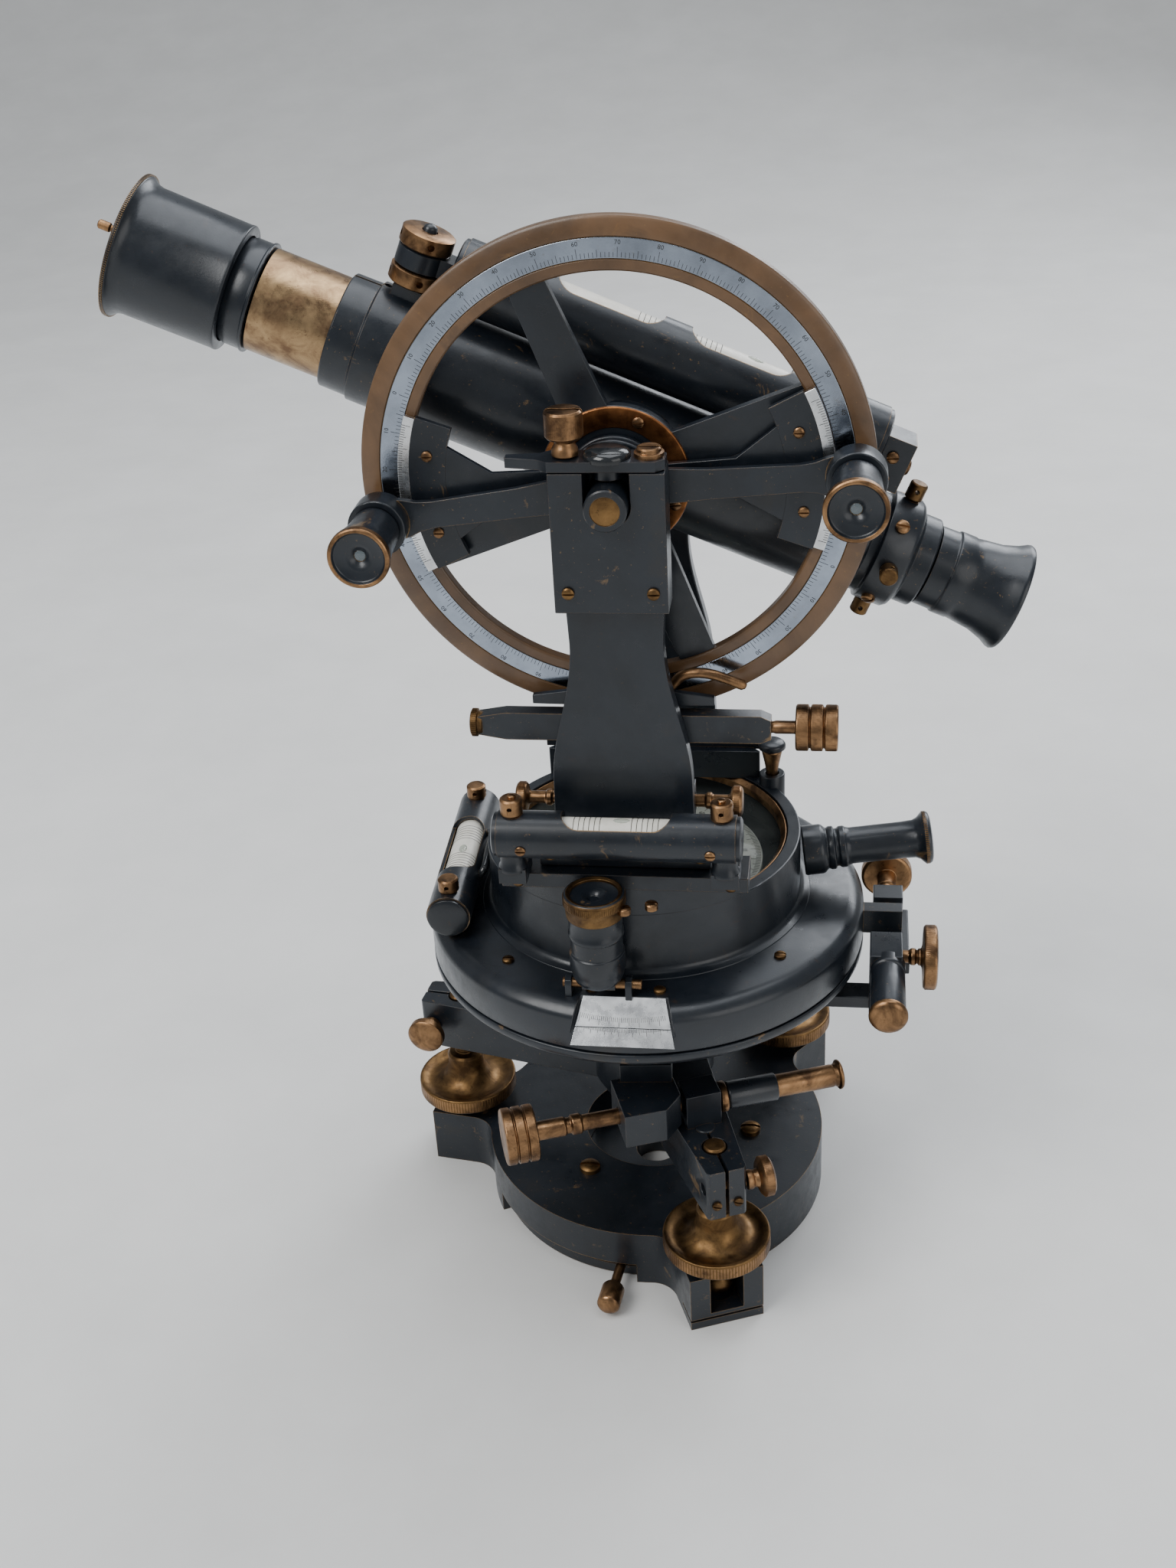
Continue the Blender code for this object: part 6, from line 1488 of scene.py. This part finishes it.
class THEO_OT_telescope(Maker):
    """Builds the telescope: barrel, axle, sliding tube, shade, eyepiece and focus knob"""

    bl_idname = "theodolite.telescope"
    bl_label = "Telescope"

    def make(self):
        along = TELESCOPE @ Matrix.Rotation(radians(90), 4, "Y")
        across = TELESCOPE @ Matrix.Rotation(radians(90), 4, "X")
        slit = [cutter(block_mesh((-22, -0.5, -90), (-5, 0.5, -77))),
                round_cut((-22, 0, -77), (-5, 0, -77), 1.2)]
        barrel = Piece("telescope_tube")
        barrel.lathe([(16.6, 66), (17.2, 65.5), (17.2, 58.6), (16.9, 58.2), (17.2, 57.8), (17.2, -58),
                      (16.8, -58.4),
                      (17.2, -58.8), (17.2, -78.4), (16.4, -79), (16.3, -86.6), (15.9, -87), (15, -87),
                      (15, 66)],
                     along, "worn_lacquer", 112, True, slit)
        front_axle = [(5.4, 52.3), (5.8, 51.9), (5.8, 34.4), (8.0, 34.4), (8.0, 24.7), (12, 24.7),
                      (12.8, 20),
                      (14.6, 16.4), (16.2, 13.4), (16.2, 10), (15.2, 10), (15.2, 12), (4, 22), (4, 52.3)]
        rear_axle = [(16.2, -10), (16.2, -13.4), (14.0, -17), (11.0, -23), (9.0, -29.6), (9, -36.4),
                     (5.8, -36.5),
                     (5.8, -51.9), (5.4, -52.3), (4, -52.3), (4, -24), (15.2, -12), (15.2, -10)]
        for profile in (front_axle, rear_axle):
            clear_of_bore = [round_cut((-40, 0, 0), (40, 0, 0), 15.1, 64)]
            barrel.lathe(profile, across, "worn_lacquer", 80, True, clear_of_bore)
        for side in (-1, 1):
            place = across @ (Matrix.Identity(4) if side > 0 else Matrix.Rotation(pi, 4, "X"))
            barrel.lathe([(0, 52.2), (3.4, 52.2), (5.2, 51.8), (5.2, 49), (0, 49)], place, "dark_brass", 40)
        barrel.block((-75.6, -4.4, 15.2), (-65.6, 4.4, 19.7), "lacquer", TELESCOPE)
        barrel.lathe([(0, 37.6), (0.9, 37.4), (1.7, 36.9), (2.0, 36.2), (2.0, 16), (0, 16)],
                     TELESCOPE @ Matrix.Translation((LEVEL_STUD, 0, 0)), "worn_lacquer", 24)
        barrel.lathe([(6.2, 20.2), (6.6, 19.8), (6.6, 12), (2.8, 12), (2.8, 20.2)],
                     TELESCOPE @ Matrix.Translation((-45, 0, -2.7)) @ Matrix.Rotation(radians(-90), 4, "X"),
                     "lacquer", 48, True)
        barrel.finish("telescope", ["telescope_barrel"], edge=0.3)
        hub = TELESCOPE @ Matrix.Translation((-45, 16.6, -2.7)) @ Matrix.Rotation(radians(-90), 4, "X")
        focus = Piece("focus_thumb").lathe(
            [(0, 14.8), (5.4, 14.8), (6.2, 15.4), (8.2, 15.4), (8.9, 14.7), (8.9, 9.7), (8.2, 9.0),
             (4.6, 8.0),
             (4.0, 4.4), (2.5, 4.0), (2.5, 1.2), (0, 1.2)], hub, "brass", SMOOTH)
        focus.finish("focus_knob", ["focus_knob"], rows=[knurl(8.9, 4.6,
                                                               hub @ Matrix.Translation((0, 0, 12.2)))])
        draw = Piece("sliding_tube").lathe([(14.6, -34), (14.6, -109.3), (13.4, -109.5), (13.4, -34)],
                                           along, "tube_brass",
                                           112, True)
        draw.finish("draw", ["draw_tube"], edge=0.1)
        cell = Piece("lens_cell").lathe([(15.5, -109.8), (15.7, -110.0), (15.7, -110.6), (15.2, -110.9),
                                         (15.2, -115.6), (14.8, -116.2), (14.8, -121.8), (11.5, -121.8),
                                         (11.5, -111.8), (13.4, -111.2), (13.4, -109.8)],
                                        along, "lacquer", 112, True)
        cell.finish("draw", ["objective_cell"], edge=0.15)
        shade = Piece("sun_shade").lathe(
            [(17.5, -117), (17.9, -117.3), (17.9, -118.1), (17.8, -118.4), (18.1, -144.6), (18.5, -146.2),
             (19.3, -147.4),
             (19.9, -147.9), (19.9, -149.0), (19.5, -149.3), (18.6, -149.3), (16.8, -144.4), (15.6, -141),
             (15.2, -138),
             (15.1, -117)], along, "lacquer", 112, True)
        shade.finish("draw", ["ray_shade"], edge=0.2,
                     rows=[knurl(20.3, 0.9, along @ Matrix.Translation((0, 0, -148.5)), "worn_lacquer")])
        lens = Piece("object_glass").lathe([(0, -117.2), (6, -117.5), (11.1, -118.6), (11.1, -120.8),
                                            (6, -121.8),
                                            (0, -122.1)], along, "lens", 80)
        lens.finish("draw", ["objective_lens"], edge=0)
        lid = Piece("lid").lathe([(0, -143.6), (15.4, -143.6), (15.5, -144.6), (13.8, -144.8),
                                  (13.2, -144.2),
                                  (0, -144.2)], along, "worn_lacquer", 96)
        lid.lathe([(0, 10.9), (0.9, 10.9), (1.3, 10.5), (1.3, 7.6), (0.9, 7.2), (0.9, 0), (0, 0)],
                  TELESCOPE @ Matrix.Translation((-144.0, -11.5, 7.0)) @ Matrix.Rotation(radians(-90), 4,
                                                                                         "Y"), "brass", 24,
                  cuts=[block_mesh((-2, -0.25, 10.2), (2, 0.25, 12))])
        lid.finish("dust_cap", ["dust_cap"], edge=0.2)
        bore = [round_cut((0, 0, 64), (0, 0, 94), 8.8, 48)]
        reticle = Piece("reticle_body").lathe(
            [(0, 91.3), (12.4, 91.3), (13.0, 90.8), (13.0, 85.9), (15.2, 84.8), (16.0, 83.6),
             (16.0, 75.4), (14.9, 75.0),
             (14.6, 74.4), (14.6, 72.6), (16.0, 72.0), (16.2, 71.6), (16.2, 67.3), (15.6, 66.3), (0, 66.3)],
            along, "worn_lacquer", 96, cuts=bore)
        for angle in (0, 90, 180, 270):
            at = along @ about_z(angle)
            peg = at @ Matrix.Translation((0, 0, 80)) @ Matrix.Rotation(radians(90), 4, "Y")
            reticle.lathe([(0, 21.4), (2.1, 21.4), (2.6, 21.0), (2.6, 16.6), (2.1, 16.3), (1.3, 15),
                           (0, 15)], peg,
                          "dark_brass", 32, cuts=[round_cut((-4, 0, 19.2), (4, 0, 19.2), 0.6, 12),
                                                  round_cut((0, -4, 19.2), (0, 4, 19.2), 0.6, 12)])
        reticle.finish("telescope", ["reticle_housing"], edge=0.25)
        turn = along.to_3x3()
        spots = [(along @ Vector((*polar(16.0, a), 79)), turn @ Vector((*polar(1, a), 0)),
                  2.0) for a in (45, 135, 225, 315)]
        screws("reticle_screws", "telescope", spots, "brass")
        cup = Piece("eye_cup").lathe(
            [(0, 113.6), (4.0, 113.7), (4.3, 114.0), (8.0, 116.2), (12.2, 118.0), (14.4, 118.8),
             (15.4, 118.5), (15.7, 117.6),
             (15.5, 116.8), (14.3, 114.6), (12.9, 110.2), (12.3, 105), (12.0, 102.6), (12.2, 102.2),
             (12.2, 97.8),
             (11.7, 97.2), (11.6, 91.8), (8.3, 91.6), (8.3, 69.3), (0, 69.3)], along, "worn_lacquer", 96)
        cup.lathe([(0, 114.3), (2.4, 114.2), (4.1, 113.9), (4.1, 113.2), (0, 113.2)], along, "lens", 32)
        cup.finish("eyepiece", ["eyepiece"], edge=0.25)


class THEO_OT_top_level(Maker):
    """Builds the long level over the telescope"""

    bl_idname = "theodolite.top_level"
    bl_label = "Telescope level"

    def make(self):
        front, rear = -61.1, 65.5
        middle, half = (front + rear) / 2, (rear - front) / 2
        place = TELESCOPE @ Matrix.Translation((middle, 0, LEVEL_UP))
        windows = [(-34 + 5.6 - middle, -3 - 5.6 - middle), (5 + 5.6 - middle, 35 - 5.6 - middle)]
        tube, lay = level("long_level", place, 9.8, half, windows, 5.6, 5.0)
        tube.lathe([(0, 2.7), (6.7, 2.7), (7.1, 2.4), (7.1, -2.4), (6.7, -2.7), (0, -2.7)],
                   TELESCOPE @ Matrix.Translation((LEVEL_STUD, 0, LEVEL_UP)), "worn_lacquer", 64,
                   cuts=[round_cut((0, 0, -4), (0, 0, 4), 2.3)])
        tube.block((LEVEL_STUD + 3.5, -4.3, LEVEL_UP - 2.5), (-58, 4.4, LEVEL_UP + 2.5), "lacquer",
                   TELESCOPE)
        tube.block((64, -5.6, 17.5), (74, 5.6, LEVEL_UP + 4.3), "worn_lacquer", TELESCOPE)
        tube.finish("telescope", ["top_level_tube"], edge=0.3)
        tail = TELESCOPE.to_3x3()
        screws("block_screws", "telescope", [(TELESCOPE @ Vector((69, -5.6, t)),
                                              tail @ Vector((0, -1, 0)), 1.7)
                                             for t in (20.5, 27)]
               + [(TELESCOPE @ Vector((74, 0, 24)), tail @ Vector((1, 0, 0)), 2.2)], "brass")
        vial("long_vial", lay, 8.3, 53, "telescope", ["top_level_vial"], 22.0)
        for name, low in (("upper", LEVEL_UP + 3.0), ("lower", LEVEL_UP - 7.6)):
            at = TELESCOPE @ Matrix.Translation((LEVEL_STUD, 0, low))
            holes = []
            for angle in (20, 110, 200, 290):
                start, end = polar(5.0, angle), polar(9, angle)
                holes.append(round_cut((*start, 2.3), (*end, 2.3), 0.95, 16))
            nut = Piece(f"nut_{name}").lathe([(6.9, 4.6), (7.5, 4.2), (7.5, 0.4), (7.1, 0), (2.3, 0),
                                              (2.3, 4.6)], at,
                                             "brass", SMOOTH, True, holes)
            nut.finish(f"level_nut_{name}", [f"level_nut_{name}"])


# ---------------------------------------------------------------- floor, lights and camera

class THEO_OT_stage(Maker):
    """Makes the plain floor, the soft lights and the camera"""

    bl_idname = "theodolite.stage"
    bl_label = "Stage"

    def make(self):
        scene = bpy.context.scene
        half = sizes().floor_size / 2
        mesh = bpy.data.meshes.new("floor")
        rows = [(-half, 0.0), (half * 0.4, 0.0)]
        rows += [(half * 0.4 + half * 0.6 * sin(radians(a)),
                  half * 0.6 * (1 - cos(radians(a)))) for a in range(5, 91, 5)]
        verts, faces = [], []
        for y, z in rows:
            verts += [(-half * 2, y, z), (half * 2, y, z)]
        for i in range(len(rows) - 1):
            faces.append((2 * i, 2 * i + 1, 2 * i + 3, 2 * i + 2))
        mesh.from_pydata(verts, [], faces)
        mesh.materials.append(finish("floor"))
        floor = bpy.data.objects.new("floor", mesh)
        scene.collection.objects.link(floor)
        floor.data.shade_smooth()
        for name, place, target, size, power, colour in (
                ("key", (-0.9, -0.9, 1.5), (0, 0, 0.16), 1.0, 26, (1.0, 0.99, 0.97)),
                ("top", (0.15, 0.25, 1.6), (0, 0, 0.15), 1.3, 20, (0.93, 0.96, 1.0)),
                ("fill", (1.3, -1.1, 0.7), (0, 0, 0.16), 1.2, 8, (1.0, 0.97, 0.93)),
                ("rim", (0.6, 1.2, 0.9), (0, 0, 0.2), 0.8, 12, (0.93, 0.96, 1.0))):
            data = bpy.data.lights.new(name, "AREA")
            data.shape = "SQUARE"
            data.size = size
            data.energy = power
            data.color = colour
            lamp = bpy.data.objects.new(name, data)
            lamp.location = place
            lamp.rotation_euler = (Vector(target) - Vector(place)).to_track_quat("-Z", "Y").to_euler()
            scene.collection.objects.link(lamp)
        world = bpy.data.worlds.new("studio")
        world.use_nodes = True
        world.node_tree.nodes["Background"].inputs["Color"].default_value = (0.86, 0.90, 0.95, 1)
        world.node_tree.nodes["Background"].inputs["Strength"].default_value = 0.38
        scene.world = world
        azimuth, height, roll = CAMERA_TURN
        back = Vector((sin(azimuth) * cos(height), -cos(azimuth) * cos(height), sin(height)))
        right = Vector((cos(azimuth), sin(azimuth), 0))
        up = back.cross(right)
        x = right * cos(roll) + up * sin(roll)
        y = up * cos(roll) - right * sin(roll)
        data = bpy.data.cameras.new("camera")
        data.sensor_width = 36
        data.lens = CAMERA_LENS
        data.clip_start = 0.01
        camera = bpy.data.objects.new("camera", data)
        camera.matrix_world = Matrix.Translation(CAMERA_PLACE) @ Matrix((x, y, back)).transposed().to_4x4()
        scene.collection.objects.link(camera)
        scene.camera = camera


class THEO_PT_panel(bpy.types.Panel):
    """Lists the operators and the sizes in the sidebar"""

    bl_label = "Theodolite"
    bl_idname = "THEO_PT_panel"
    bl_space_type = "VIEW_3D"
    bl_region_type = "UI"
    bl_category = "Theodolite"

    def draw(self, context):
        for group in (context.scene.theodolite_looks, context.scene.theodolite_sizes):
            for name in group.__annotations__:
                self.layout.prop(group, name)
        for operator in OPERATORS:
            self.layout.operator(operator.bl_idname)


OPERATORS = (THEO_OT_stage, THEO_OT_base, THEO_OT_feet, THEO_OT_tribrach, THEO_OT_lower_motion,
             THEO_OT_plates,
             THEO_OT_compass, THEO_OT_levels, THEO_OT_front_reader, THEO_OT_upper_motion, THEO_OT_standards,
             THEO_OT_circle, THEO_OT_vernier_frame, THEO_OT_telescope, THEO_OT_top_level)
CLASSES = (TheodoliteLooks, TheodoliteSizes, *OPERATORS, THEO_PT_panel)


def register():
    for cls in CLASSES:
        bpy.utils.register_class(cls)
    bpy.types.Scene.theodolite_looks = PointerProperty(type=TheodoliteLooks)
    bpy.types.Scene.theodolite_sizes = PointerProperty(type=TheodoliteSizes)


def unregister():
    del bpy.types.Scene.theodolite_sizes
    del bpy.types.Scene.theodolite_looks
    for cls in reversed(CLASSES):
        bpy.utils.unregister_class(cls)


def main():
    register()
    for operator in OPERATORS:
        space, name = operator.bl_idname.split(".")
        getattr(getattr(bpy.ops, space), name)()


if __name__ == "__main__":
    main()
